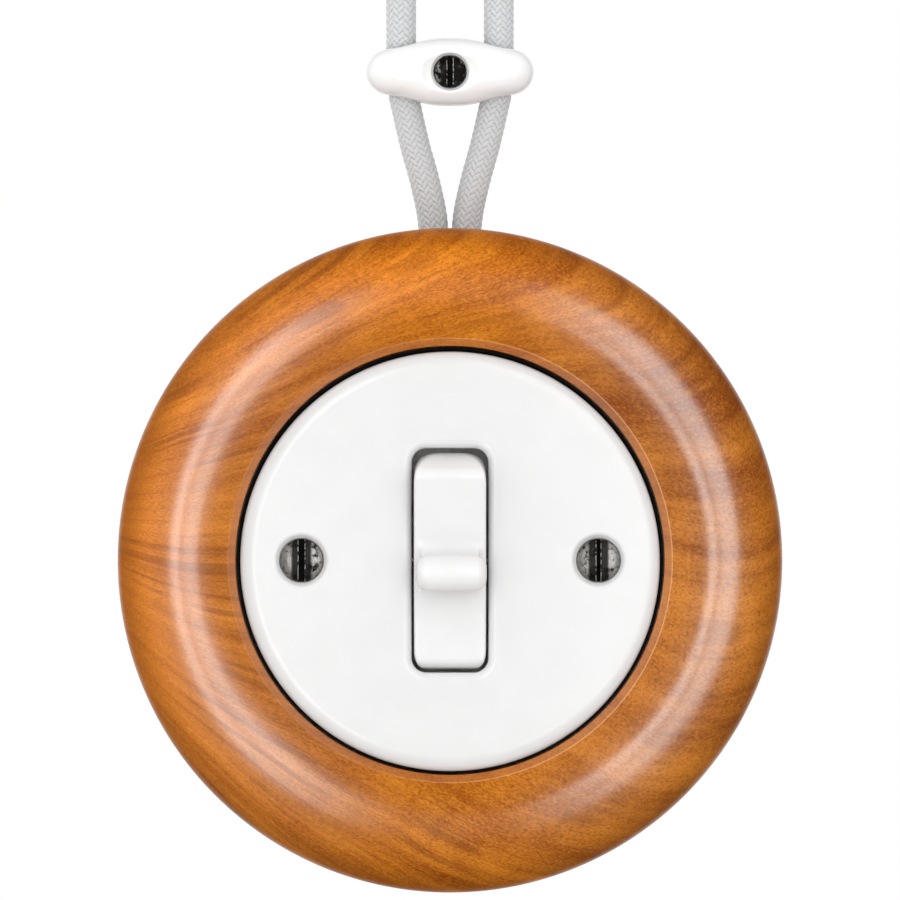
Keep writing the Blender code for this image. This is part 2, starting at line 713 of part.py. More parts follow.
def through_connector(name, x):
    body = softened(block((x - 4.2, x + 4.2), (-6.0, 6.0), (5.3, 13.3)), 0.4, segments=1)
    for offset in (-2.0, 2.0):
        cut(body, cylinder_up(1.4, -1.0, 7.0, (x + offset, 9.0), steps=16))
        cut(body, cylinder(1.25, 9.0, 14.0, at=(x + offset, 3.0), steps=16))
    part(name, body, "brass")


def connector_screws():
    places = [(x + offset, 3.0) for x in (-CONNECTOR_X, CONNECTOR_X) for offset in (-2.0, 2.0)]
    sizes = {"seat": 13.5, "head_radius": 1.7, "head_height": 1.2, "shank_radius": 1.05, "tip": 10.7}
    screw_set("connector_screw", places, "zinc_steel", **sizes, slot=0.5, dome=0.2, steps=12)


def cables():
    for name, side in (("cable_left", -1), ("cable_right", 1)):
        route = smooth_line([(side * x, y, CABLE_DEPTH) for x, y in CABLE_ROUTE], per_span=2)
        part(name, tube(route, CABLE_DIAMETER, resolution=3), "textile")


def core(points, diameter=CORE_DIAMETER):
    return tube(smooth_line(points, per_span=3), diameter)


def inner_cores():
    """Each cable's three cores, from the end of its jacket to their terminals."""
    for name, side, end in (("live_core_left", -1, CONTACT_Y - 2.0), ("live_core_right", 1, -2.0)):
        route = [(4.6, 36.1, 3.1), (4.7, 34.6, 3.2), (5.8, 31.2, 6.3), (8.2, 28.2, 9.6)]
        route += [(CORE_X, 25.2, CORE_DEPTH), (CORE_X, 22.0, CORE_DEPTH), (CORE_X, end, CORE_DEPTH)]
        part(name, core([(side * x, y, z) for x, y, z in route]), "core_brown")
    near_side = [(3.33, 36.1, 5.1), (3.4, 34.8, 5.4), (6.0, 33.4, 9.2), (14.0, 31.4, 10.6)]
    near_side += [(23.0, 28.6, 10.4), (28.6, 21.5, 9.6), (29.0, 13.0, 9.0), (29.0, 1.5, 9.0)]
    part("neutral_core_left", core([(-x, y, z) for x, y, z in near_side]), "core_blue")
    part("earth_core_right", core(near_side), "core_green")
    earth_left = [(-2.1, 36.1, 3.1), (-1.9, 34.8, 3.2), (-0.8, 31.8, 5.2), (1.0, 29.2, 9.6), (5.5, 28.4, 14.6)]
    earth_left += [(13.0, 29.2, 16.4), (20.0, 28.6, 15.6), (26.6, 22.6, 14.2), (25.6, 14.0, 10.6)]
    part("earth_core_left", core([*earth_left, (25.0, 8.5, 9.0), (25.0, 1.5, 9.0)]), "core_green")
    neutral_right = [(2.1, 36.1, 3.1), (1.9, 34.8, 3.2), (1.1, 33.2, 6.2), (0.2, 32.2, 12.0), (-3.0, 30.8, 17.6)]
    neutral_right += [(-10.0, 29.6, 19.6), (-18.0, 28.6, 18.0), (-26.6, 23.0, 12.5), (-26.0, 14.0, 9.6)]
    part("neutral_core_right", core([*neutral_right, (-25.0, 8.5, 9.0), (-25.0, 1.5, 9.0)]), "core_blue")


def clip_half_height(x):
    """Half of the clip's height at a place along it: a shallow swell with two round ends."""
    reach = CLIP_LENGTH / 2
    body = 4.5 + 2.4 * math.exp(-(abs(x / 9.2) ** 2.6))
    end_radius = 4.75
    past = abs(x) - (reach - end_radius)
    if past <= 0:
        return body
    return body * math.sqrt(max(0.0, 1.0 - (past / end_radius) ** 2))


def clip_outline(inset):
    """The clip seen from the front, drawn in by an inset all round."""
    reach = CLIP_LENGTH / 2
    along = (reach - inset) / reach
    across = 1.0 - inset / clip_half_height(0.0)
    places = [reach * math.cos(math.pi * step / 16) for step in range(17)]
    upper = [(x * along, clip_half_height(x) * across) for x in places]
    lower = [(x, -y) for x, y in reversed(upper)]
    return upper + lower[1:-1]


def cable_clip():
    levels = [(0.0, 0.4), (0.4, 0.0), (6.5, 0.0), (8.6, 0.35), (10.4, 1.2), (11.8, 2.6), (CLIP_DEPTH, 4.4)]
    clip = stacked([clip_outline(inset) for _, inset in levels], [depth for depth, _ in levels])
    clip.location.y = CLIP_CENTRE * MM
    for side in (-1, 1):
        middle = side * 9.6
        low, high = middle - 3.85, middle + 3.85
        crown = arc((high - 3.5, CABLE_DEPTH), 3.5, 0, 90, 4) + arc((low + 3.5, CABLE_DEPTH), 3.5, 90, 180, 4)
        outline = [(low, -1.0), (high, -1.0), *crown]
        cut(clip, extruded(outline, CLIP_CENTRE - 9, CLIP_CENTRE + 9, axis="Y"))
    cut(clip, ball((7.0, 5.5, 4.0), (0.0, CLIP_CENTRE, CLIP_DEPTH + 2.2)))
    cut(clip, cylinder(3.8, 8.5, CLIP_DEPTH + 1, at=(0.0, CLIP_CENTRE)))
    cut(clip, cylinder(2.2, -1.0, 9.0, at=(0.0, CLIP_CENTRE), steps=24))
    part("cable_clip", clip, "porcelain")


def clip_screw():
    screw = slotted_screw((0.0, CLIP_CENTRE), 8.7, 3.18, 1.6, 1.9, 0.0, slot=1.6, dome=0.4, steps=24)
    part("clip_screw", as_mesh(screw), "blackened_steel")


def cable_ends():
    """The cables' free ends, made ready to be joined: a boot over the jacket with the bared cores in it."""
    top_x = CABLE_ROUTE[0][0]
    for name, side in (("cable_end_left", -1), ("cable_end_right", 1)):
        at = (side * top_x, CABLE_DEPTH)
        boot = cylinder_up(3.55, JACKET_TOP - 5.5, JACKET_TOP + 1.6, at, steps=24)
        cut(boot, cylinder_up(3.2, JACKET_TOP - 7.0, JACKET_TOP + 0.2, at, steps=24))
        for turn in (30, 150, 270):
            across, out = math.cos(math.radians(turn)), math.sin(math.radians(turn))
            low, high = JACKET_TOP + 1.0, JACKET_TOP + 11.0
            place = (at[0] + 1.5 * across, at[1] + 1.5 * out)
            join(boot, cylinder_up(CORE_DIAMETER / 2, low, high, place, steps=12))
            join(boot, cylinder_up(0.85, high - 0.5, high + 6.0, place, steps=12))
        part(name, boot, "black_plastic")


# ---------------------------------------------------------------- assembly


def new_empty(name, parent, location, rotation):
    empty = bpy.data.objects.new(name, None)
    bpy.context.scene.collection.objects.link(empty)
    empty.parent = parent
    empty.location = metres(location)
    empty.rotation_euler = rotation
    return empty


clear_scene()
PARTS = new_collection("parts")
CUTTERS = new_collection("cutters")
MATERIALS = {name: new_material(name, *values) for name, values in COLOURS.items()}
FRONT = new_empty("front", None, (0.0, 0.0, 0.0), (math.pi / 2, 0.0, 0.0))
ROCKER_AXIS = new_empty("rocker_axis", FRONT, (0.0, 0.0, ROCKER_PIVOT), (math.radians(ROCKER_TILT), 0.0, 0.0))
PLUNGER_AXIS = new_empty("plunger_axis", ROCKER_AXIS, (0.0, 0.0, 0.0), (0.0, 0.0, 0.0))
LEVER_AXIS = new_empty("lever_axis", FRONT, (0.0, 0.0, LEVER_PIVOT), (math.radians(LEVER_TILT), 0.0, 0.0))

base_plate()
wall_screws()
wood_frame()
seat_ring()
cover_plate()
cover_screws()
support_ring()
support_screws()
mechanism_housing()
mechanism_cover()
mechanism_screws()
pivot_pin()
common_contact()
fixed_contact("fixed_contact_upper", 1)
fixed_contact("fixed_contact_lower", -1)
for terminal_name, terminal_place in terminal_places().items():
    terminal(terminal_name, *terminal_place)
terminal_screws()
contact_lever()
rocker_cap()
rocker_carrier()
plunger()
plunger_spring()
cord_clamp()
clamp_screws()
through_connector("neutral_connector", -CONNECTOR_X)
through_connector("earth_connector", CONNECTOR_X)
connector_screws()
cables()
inner_cores()
cable_clip()
clip_screw()
cable_ends()
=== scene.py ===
"""The looks of a surface mounted rocker switch: wooden ring, porcelain plate and rocker, braided cables.

Everything is drawn as seen from the front, in millimetres: X to the right, Y up the wall, Z out from it.
The matrix FRONT turns that into the shared frame, in which the wall is the plane Y = 0 and up is +Z.
Materials read places in the shared frame, in millimetres, so there the wood's depth is -Y.
"""

import json
import math

import bmesh
import bpy
import numpy as np
from mathutils import Matrix, Vector, noise

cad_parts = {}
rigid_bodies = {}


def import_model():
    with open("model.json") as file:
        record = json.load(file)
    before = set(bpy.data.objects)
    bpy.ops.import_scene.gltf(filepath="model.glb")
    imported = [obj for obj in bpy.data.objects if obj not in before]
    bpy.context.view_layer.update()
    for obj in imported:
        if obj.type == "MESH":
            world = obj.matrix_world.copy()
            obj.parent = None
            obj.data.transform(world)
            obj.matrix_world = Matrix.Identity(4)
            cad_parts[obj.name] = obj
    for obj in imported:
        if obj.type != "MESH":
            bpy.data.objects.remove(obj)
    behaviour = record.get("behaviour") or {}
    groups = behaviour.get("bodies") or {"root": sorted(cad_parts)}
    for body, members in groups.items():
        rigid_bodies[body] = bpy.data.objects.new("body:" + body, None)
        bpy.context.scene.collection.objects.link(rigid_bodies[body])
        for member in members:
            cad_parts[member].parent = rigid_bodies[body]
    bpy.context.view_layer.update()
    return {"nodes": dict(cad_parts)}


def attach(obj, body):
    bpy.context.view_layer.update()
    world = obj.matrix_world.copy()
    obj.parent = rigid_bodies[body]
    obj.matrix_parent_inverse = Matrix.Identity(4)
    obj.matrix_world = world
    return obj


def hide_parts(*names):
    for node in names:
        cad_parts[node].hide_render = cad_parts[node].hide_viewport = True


MM = 0.001

# Plate and fixings
PLATE_RADIUS = 42.4
PLATE_BACK = 31.3
PLATE_FRONT = 36.0
PLATE_DROP = 0.2
SLOT_SIZE = (15.5, 45.3)
SLOT_CORNER = 3.0
SCREW_X = 30.0
SCREW_SEAT = 33.2
SCREW_HEAD = 4.3
SCREW_SHANK = 1.75
BORE_RADIUS = 4.95
BORE_FLOOR = 33.0
SLOT_ROLL = 1.5
FLAT_ANGLE = 4.4

# Wooden ring
RING_RADIUS = 67.2
RING_WIDEST = 13.0
CREST_RADIUS = 55.0
CREST = 40.0
MOUTH_RADIUS = 43.36
LEDGE = 30.0
LEDGE_RADIUS = 40.0
FOOT = (54.0, 62.0)
SHOULDER = 27.0
FRONT_CURVE = 11.0
FRONT_SLOPE = 24.0
CHAMFER = 1.54
ENTRY_WIDTH = 14.4
ENTRY_HEIGHT = 7.2
ENTRY_CORNER = 3.3

# The wood's grain fans out from a place beyond the ring's left side and bends over as it goes
GRAIN_FOCUS = (-84.0, 6.0)
GRAIN_REACH = 130.0
GRAIN_BEND = 0.7

# Rocker, measured from its pivot
ROCKER_PIVOT = 28.5
ROCKER_TILT = 10.0
ROCKER_WIDTH = 14.6
ROCKER_END = 22.3
BULB_HEIGHT = 14.4
BULB_RADIUS = 3.6
BULB_WIDTH = 14.2
BULB_SHIFT = 0.3
PADDLE_END = 6.0
PADDLE_SQUARENESS = (3.5, 2.7)
NECK_WIDTH = 11.9
NECK_FOOT = 5.8
NECK_FILLET = 3.2
FOOT_HEIGHT = 9.3
PIN_RADIUS = 1.7

# Cables and clip
CABLE_DIAMETER = 6.1
CABLE_DEPTH = 3.7
CLIP_CENTRE = 98.96
CLIP_LENGTH = 34.0
CLIP_DEPTH = 12.6
CLIP_END = 4.75
CLIP_CHANNEL = 7.7
CLIP_SCREW_HEAD = 3.18
VOXEL = 0.2
JACKET_TOP = 124.0
CARRIERS = 16
WEAVE_PITCH = 1.39
WEAVE_DEPTH = 0.26
BRAID_STEP = 0.145
CORE_SPREAD = 1.5

# The right-hand cable's route as X and Y, from its free end down to the clamp.
CABLE_ROUTE = [
    (9.9, 124.0),
    (9.9, 113.2),
    (9.9, 105.0),
    (9.85, 99.0),
    (9.55, 95.0),
    (8.7, 91.0),
    (7.8, 87.0),
    (6.8, 82.9),
    (5.66, 78.9),
    (4.65, 74.8),
    (3.8, 70.8),
    (3.4, 67.2),
    (3.33, 62.0),
    (3.33, 54.0),
    (3.33, 46.0),
    (3.33, 36.5),
]

FRONT = Matrix.Rotation(math.pi / 2, 4, "X")
TILT = Matrix.Rotation(math.radians(ROCKER_TILT), 4, "X")
ROCKER = FRONT @ Matrix.Translation((0.0, 0.0, ROCKER_PIVOT * MM)) @ TILT

# Camera and lights, in metres. A softbox has two corners and a radiance, a tent panel a turn and a radiance.
CAMERA_DISTANCE = 8.0
VIEW_WIDTH = 0.1818
VIEW_HEIGHT = 0.0223
SOFTBOX_DISTANCE = 0.5
SOFTBOXES = {
    "right_softbox": ((0.03, -0.16), (0.37, 0.36), 2.1),
    "left_softbox": ((-0.18, -0.16), (-0.04, 0.24), 3.0),
}
TENT_REACH = 1.3
TENT = [
    ((0, 0, 0), 1.5),
    ((90, 0, 0), 1.2),
    ((90, 0, 90), 0.9),
    ((90, 0, 180), 1.2),
    ((90, 0, 270), 1.65),
    ((180, 0, 0), 0.6),
]
ROOM_LIGHT = 0.04
WALL_LIGHT = 0.9

# ---------------------------------------------------------------- frame

for thing in list(bpy.data.objects):
    bpy.data.objects.remove(thing, do_unlink=True)
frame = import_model()


# ---------------------------------------------------------------- mesh helpers


def arc(centre, radius, start, end, steps):
    """Points on an arc, with the angles in degrees; radius may be a pair for an ellipse."""
    across, along = radius if isinstance(radius, tuple) else (radius, radius)
    angles = [math.radians(start + (end - start) * step / steps) for step in range(steps + 1)]
    return [(centre[0] + across * math.cos(a), centre[1] + along * math.sin(a)) for a in angles]


def rounded_rectangle(width, height, radius, steps=24):
    """Points round a rectangle with round corners, centred on the origin."""
    x = width / 2 - radius
    y = height / 2 - radius
    corners = [((x, y), 0), ((-x, y), 90), ((-x, -y), 180), ((x, -y), 270)]
    return [point for centre, turn in corners for point in arc(centre, radius, turn, turn + 90, steps)]


def catmull_rom(a, b, c, d, t):
    """The value a share t of the way from b to c, on a curve through all four."""
    return 0.5 * (2 * b + (c - a) * t + (2 * a - 5 * b + 4 * c - d) * t**2 + (3 * b - a - 3 * c + d) * t**3)


def smooth_line(points, per_span):
    """A Catmull-Rom line through the points, with a few steps between each two."""
    padded = [points[0], *points, points[-1]]
    line = []
    for four in zip(padded, padded[1:], padded[2:], padded[3:]):
        for step in range(per_span):
            line.append(tuple(catmull_rom(*values, step / per_span) for values in zip(*four)))
    return line + [points[-1]]


def new_object(name, mesh):
    thing = bpy.data.objects.new(name, mesh)
    bpy.context.scene.collection.objects.link(thing)
    return thing


def from_faces(name, points, faces):
    """A mesh from points in millimetres, with its seams closed and its normals outward."""
    mesh = bpy.data.meshes.new(name)
    mesh.from_pydata([tuple(p) for p in np.asarray(points, float) * MM], [], faces)
    shape = bmesh.new()
    shape.from_mesh(mesh)
    bmesh.ops.remove_doubles(shape, verts=shape.verts, dist=2e-7)
    bmesh.ops.recalc_face_normals(shape, faces=shape.faces)
    shape.to_mesh(mesh)
    shape.free()
    return new_object(name, mesh)


def grid_faces(rows, columns, closed_rows=False):
    """Quads of a grid of points numbered row by row, with each row joined into a loop."""
    faces = []
    for row in range(rows if closed_rows else rows - 1):
        below = row * columns
        above = (row + 1) % rows * columns
        for column in range(columns):
            beside = (column + 1) % columns
            faces.append((below + column, below + beside, above + beside, above + column))
    return faces


def turned(name, profile, steps, at=(0.0, 0.0), closed=False):
    """A turned shape about Z from (radius, depth) points."""
    angles = np.arange(steps) * 2 * math.pi / steps
    points = [
        (at[0] + radius * math.cos(angle), at[1] + radius * math.sin(angle), depth)
        for radius, depth in profile
        for angle in angles
    ]
    return from_faces(name, points, grid_faces(len(profile), steps, closed_rows=closed))


def stacked(name, outlines, depths):
    """A closed solid whose outline changes with depth: the outlines have equal numbers of points."""
    count = len(outlines[0])
    points = [(x, y, depth) for outline, depth in zip(outlines, depths) for x, y in outline]
    faces = grid_faces(len(outlines), count)
    faces.append(tuple(range(count)))
    faces.append(tuple((len(outlines) - 1) * count + i for i in range(count)))
    return from_faces(name, points, faces)


def extruded(name, outline, low, high, axis="Z"):
    """A flat outline pushed along an axis: (x, y) along Z, (y, z) along X or (x, z) along Y."""
    thing = stacked(name, [outline, outline], [low, high])
    if axis == "X":
        order = Matrix(((0, 0, 1, 0), (1, 0, 0, 0), (0, 1, 0, 0), (0, 0, 0, 1)))
    elif axis == "Y":
        order = Matrix(((1, 0, 0, 0), (0, 0, 1, 0), (0, 1, 0, 0), (0, 0, 0, 1)))
    else:
        order = Matrix.Identity(4)
    thing.data.transform(order)
    if axis == "Y":
        thing.data.flip_normals()
    return thing


def ball(name, semi_axes, at, steps=64):
    profile = arc((0.0, 0.0), 1.0, 90, -90, steps // 2)
    thing = turned(name, profile, steps)
    scale = Matrix.Diagonal((*semi_axes, 1.0))
    thing.data.transform(Matrix.Translation(Vector(at) * MM) @ scale)
    return thing


def apply_modifiers(thing):
    """Makes the object's modifiers part of its mesh."""
    bpy.context.view_layer.update()
    graph = bpy.context.evaluated_depsgraph_get()
    mesh = bpy.data.meshes.new_from_object(thing.evaluated_get(graph))
    thing.modifiers.clear()
    thing.data = mesh


def combine(thing, others, operation="DIFFERENCE"):
    """Booleans with the others, which are then removed."""
    for other in others:
        step = thing.modifiers.new("step", "BOOLEAN")
        step.solver = "EXACT"
        step.operation = operation
        step.object = other
        apply_modifiers(thing)
        bpy.data.objects.remove(other, do_unlink=True)


def remesh(thing, rounds):
    """Turns a solid into an even fine mesh and softens its edges."""
    step = thing.modifiers.new("even", "REMESH")
    step.mode = "VOXEL"
    step.voxel_size = VOXEL * MM
    soft = thing.modifiers.new("soft", "SMOOTH")
    soft.factor = 0.5
    soft.iterations = rounds
    apply_modifiers(thing)


def piece(name, thing, material, nodes=(), body="switch", place=FRONT, angle=35.0):
    """Finishes a piece: its place, shading and material, the body it rides on and the nodes it stands for."""
    thing.data.transform(place)
    thing.name = name
    thing.data.name = name
    thing.data.materials.clear()
    thing.data.materials.append(material)
    thing.data.shade_smooth()
    thing.data.set_sharp_from_angle(angle=math.radians(angle))
    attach(thing, body)
    if nodes:
        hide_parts(*nodes)
    return thing


# ---------------------------------------------------------------- node helpers


class Nodes:
    """Builds one node material with short calls; every input may be a number, a colour or a socket."""

    def __init__(self, name):
        self.material = bpy.data.materials.new(name)
        self.material.use_nodes = True
        self.tree = self.material.node_tree
        self.shader = self.tree.nodes["Principled BSDF"]

    def add(self, kind, inputs=(), **settings):
        node = self.tree.nodes.new(kind)
        for key, value in settings.items():
            setattr(node, key, value)
        for key, value in dict(inputs).items():
            self.put(node.inputs[key], value)
        return node

    def put(self, socket, value):
        if isinstance(value, bpy.types.NodeSocket):
            self.tree.links.new(value, socket)
        elif isinstance(value, tuple) and len(value) == 3 and socket.type == "RGBA":
            socket.default_value = (*value, 1.0)
        else:
            socket.default_value = value

    def place(self, scale=1000.0):
        """The object's own coordinates, in millimetres by default."""
        where = self.add("ShaderNodeTexCoord").outputs["Object"]
        return self.vector("SCALE", where, scale)

    def vector(self, operation, first, second):
        key = "Scale" if operation == "SCALE" else 1
        return self.add("ShaderNodeVectorMath", {0: first, key: second}, operation=operation).outputs[0]

    def length(self, vector):
        return self.add("ShaderNodeVectorMath", {0: vector}, operation="LENGTH").outputs["Value"]

    def unit(self, vector):
        return self.add("ShaderNodeVectorMath", {0: vector}, operation="NORMALIZE").outputs[0]

    def split(self, vector):
        node = self.add("ShaderNodeSeparateXYZ", {0: vector})
        return [node.outputs[i] for i in range(3)]

    def join(self, x, y, z):
        return self.add("ShaderNodeCombineXYZ", {0: x, 1: y, 2: z}).outputs[0]

    def stretched(self, axes, factors):
        """A place made of three values, each times its own factor."""
        return self.join(*(self.times(value, factor) for value, factor in zip(axes, factors)))

    def maths(self, operation, first, second=0.0, clamp=False):
        inputs = {0: first, 1: second}
        return self.add("ShaderNodeMath", inputs, operation=operation, use_clamp=clamp).outputs[0]

    def times(self, first, second):
        return self.maths("MULTIPLY", first, second)

    def weighted(self, parts):
        """The sum of some values, each times its weight."""
        total = 0.0
        for value, weight in parts:
            total = self.maths("ADD", total, self.times(value, weight))
        return total

    def off(self, value, middle):
        """How far a value lies from another, on either side."""
        return self.maths("ABSOLUTE", self.maths("SUBTRACT", value, middle))

    def noise(self, vector, scale, detail=2.0, roughness=0.5):
        inputs = {"Vector": vector, "Scale": scale, "Detail": detail, "Roughness": roughness}
        return self.add("ShaderNodeTexNoise", inputs).outputs["Fac"]

    def between(self, value, low, high, out_low=0.0, out_high=1.0, smooth=True):
        inputs = {0: value, 1: low, 2: high, 3: out_low, 4: out_high}
        kind = "SMOOTHSTEP" if smooth else "LINEAR"
        return self.add("ShaderNodeMapRange", inputs, interpolation_type=kind).outputs[0]

    def mix(self, share, first, second, blend="MIX"):
        node = self.add("ShaderNodeMix", data_type="RGBA", blend_type=blend)
        self.put(node.inputs["Factor"], share)
        self.put(node.inputs[6], first)
        self.put(node.inputs[7], second)
        return node.outputs[2]

    def tinted(self, share, colour, tint):
        """A colour taken partly towards itself times a tint."""
        return self.mix(share, colour, self.mix(1.0, colour, tint, "MULTIPLY"))

    def bump(self, height, distance, strength):
        inputs = {"Height": height, "Distance": distance * MM, "Strength": strength}
        return self.add("ShaderNodeBump", inputs).outputs["Normal"]

    def finish(self, **inputs):
        for key, value in inputs.items():
            self.put(self.shader.inputs[key.replace("_", " ")], value)
        return self.material


def srgb(red, green, blue):
    """A colour given as it looks on a screen, 0 to 255, as linear light."""
    shares = (value / 255 for value in (red, green, blue))
    return tuple(c / 12.92 if c <= 0.04045 else ((c + 0.055) / 1.055) ** 2.4 for c in shares)


# ---------------------------------------------------------------- materials


def porcelain_material(name, tone):
    """White glaze: a faint mottle in the colour and the slow waviness of a fired surface."""
    n = Nodes(name)
    place = n.place()
    mottle = n.between(n.noise(place, 0.16, 3.0), 0.3, 0.7)
    colour = n.mix(mottle, srgb(tone - 1, tone - 1, tone - 1), srgb(tone + 1, tone + 1, tone + 1))
    specks = n.between(n.noise(place, 1.7, 2.0), 0.78, 0.84)
    colour = n.mix(specks, colour, srgb(tone - 14, tone - 14, tone - 16))
    waves = n.noise(place, 0.22, 2.0)
    pores = n.noise(place, 2.4, 2.0)
    height = n.weighted([(waves, 1.0), (pores, 0.03)])
    rough = n.between(n.noise(place, 0.7, 2.0), 0.3, 0.7, 0.13, 0.2)
    return n.finish(Base_Color=colour, Roughness=rough, Normal=n.bump(height, 0.05, 0.15), IOR=1.5)


def wood_grain(n, place):
    """Places along the grain: across its lines, along them and into the wood; and the direction across."""
    x, y, z = n.split(place)
    depth = n.times(y, -1.0)
    from_left = n.maths("SUBTRACT", x, GRAIN_FOCUS[0])
    height_above = n.maths("SUBTRACT", z, GRAIN_FOCUS[1])
    bend = n.maths("POWER", n.maths("DIVIDE", GRAIN_REACH, from_left), GRAIN_BEND)
    warp = n.maths("SUBTRACT", n.noise(place, 0.022), 0.5)
    ripple = n.maths("SUBTRACT", n.noise(place, 0.16), 0.5)
    across = n.weighted([(n.times(height_above, bend), 1.0), (warp, 9.0), (ripple, 1.1), (depth, 0.45)])
    along = n.length(n.join(from_left, height_above, 0.0))
    crossing = n.unit(n.join(n.times(height_above, -1.0), 0.0, from_left))
    return (across, along, depth), crossing


def growth_lines(n, place, across, x):
    """Thin dark lines where the tree's growth paused, in some places only, and fainter on the right."""
    rings = n.noise(n.join(across, 0.0, 0.0), 0.135, 1.0)
    line = n.between(n.off(rings, 0.5), 0.0, 0.022, 1.0, 0.0)
    line = n.times(line, n.between(n.noise(place, 0.06), 0.42, 0.62))
    return n.times(line, n.between(x, -10.0, 45.0, 1.0, 0.65))


def wood_tone(n, grain, x, streaks, fibres):
    """How light the wood is, from 0 to 1, with its contrast calmer towards the left."""
    broad = n.noise(n.stretched(grain, (1.0, 0.09, 0.12)), 0.10, 3.0, 0.55)
    cross = n.noise(n.stretched(grain, (0.25, 1.0, 1.0)), 0.17)
    tone = n.weighted([(broad, 0.50), (streaks, 0.24), (fibres, 0.12), (cross, 0.14)])
    tone = n.between(tone, 0.37, 0.61, smooth=False)
    tone = n.times(n.maths("SUBTRACT", tone, 0.5), n.between(x, -67.0, -30.0, 0.35, 1.0))
    return n.maths("ADD", tone, 0.5, clamp=True)


def lit_wood(n, colour, x, z, spread):
    """Painted light and shade on the wood: painted light towards the upper left, painted shade round the rim,
    a painted reflection on the mouth's chamfer and a painted highlight along the chamfer's outer edge.
    """
    # Painted light: the wood lighter towards the upper left, most on the face between mouth and rim, where
    # the light falls.
    sunny = n.between(n.maths("SUBTRACT", n.times(z, 0.6), x), -30.0, 60.0)
    painted_light = n.times(n.between(spread, 46.0, 56.0, 0.15, 0.42), sunny)
    painted_light = n.times(painted_light, n.between(spread, 60.0, 66.5, 1.0, 0.4))
    colour = n.tinted(painted_light, colour, (1.9, 1.75, 1.2))
    # Painted shade: the wood darker round the rim, where its side turns away from the light.
    colour = n.tinted(n.between(spread, 60.5, 66.5, 0.0, 0.8), colour, (0.66, 0.6, 0.4))
    band = MOUTH_RADIUS + CHAMFER
    # Painted highlight: a light line along the chamfer's outer edge, stronger towards the right.
    edge = n.between(n.off(spread, band), 0.03, 0.2, 1.0, 0.0)
    edge = n.times(edge, n.between(x, -30.0, 40.0, 0.12, 0.5))
    # Painted reflection: a paler, pinker brown mixed in over the chamfer.
    colour = n.mix(n.between(spread, band - 0.2, band - 0.05, 0.35, 0.0), colour, srgb(150, 92, 58))
    return n.mix(edge, colour, srgb(212, 158, 110))


def wood_material():
    """Lacquered wood: broad bands, streaks, fibres, flecks and growth lines along one grain."""
    n = Nodes("wood")
    place = n.place()
    x, _, z = n.split(place)
    spread = n.length(n.join(x, z, 0.0))
    grain, crossing = wood_grain(n, place)
    streaks = n.noise(n.stretched(grain, (1.0, 0.09, 0.12)), 0.55, 4.0, 0.6)
    fibres = n.noise(n.stretched(grain, (1.0, 0.3, 0.3)), 2.6, 3.0, 0.6)
    across, along, depth = grain
    flecks = n.noise(n.stretched((along, across, depth), (0.6, 1.0, 1.0)), 2.2, 3.0, 0.7)
    colour = n.mix(wood_tone(n, grain, x, streaks, fibres), srgb(124, 60, 4), srgb(180, 109, 28))
    colour = n.mix(n.between(flecks, 0.5, 0.64, 0.0, 0.5), colour, srgb(92, 42, 4))
    colour = n.mix(n.between(flecks, 0.34, 0.48, 0.4, 0.0), colour, srgb(190, 122, 46))
    colour = n.mix(n.times(growth_lines(n, place, across, x), 0.4), colour, srgb(90, 40, 8))
    # Painted light and shade, a painted reflection and a painted highlight on the wood.
    colour = lit_wood(n, colour, x, z, spread)
    aside = n.maths("DIVIDE", n.maths("ABSOLUTE", x), spread)
    gloss = n.times(n.between(aside, 0.15, 0.75, 0.1, 1.0), n.between(spread, 57.0, 64.0, 1.0, 0.15))
    gloss = n.times(gloss, n.between(spread, 47.0, 52.0, 0.35, 1.0))
    height = n.weighted([(fibres, 0.5), (flecks, 0.5)])
    return n.finish(
        Base_Color=colour,
        Roughness=n.between(streaks, 0.3, 0.7, 0.29, 0.34),
        Normal=n.bump(height, 0.05, 0.2),
        IOR=1.8,
        Specular_IOR_Level=gloss,
        Anisotropic=0.3,
        Tangent=crossing,
    )


def plain_material(name, colour, roughness, metallic=0.0, grain=1.2, depth=0.02, gloss=0.5):
    """Moulded plastic, plated or turned metal: a faint mottle, a fine grain and slow changes of gloss."""
    n = Nodes(name)
    place = n.place()
    mottle = n.between(n.noise(place, 0.5, 3.0), 0.3, 0.7)
    dark = tuple(c * 0.88 for c in colour)
    light = tuple(min(1.0, c * 1.12) for c in colour)
    rough = n.between(n.noise(place, grain, 3.0), 0.3, 0.7, roughness * 0.85, min(1.0, roughness * 1.2))
    normal = n.bump(n.noise(place, grain * 4, 2.0), depth, 0.5)
    return n.finish(
        Base_Color=n.mix(mottle, dark, light),
        Roughness=rough,
        Metallic=metallic,
        Normal=normal,
        Specular_IOR_Level=gloss,
    )


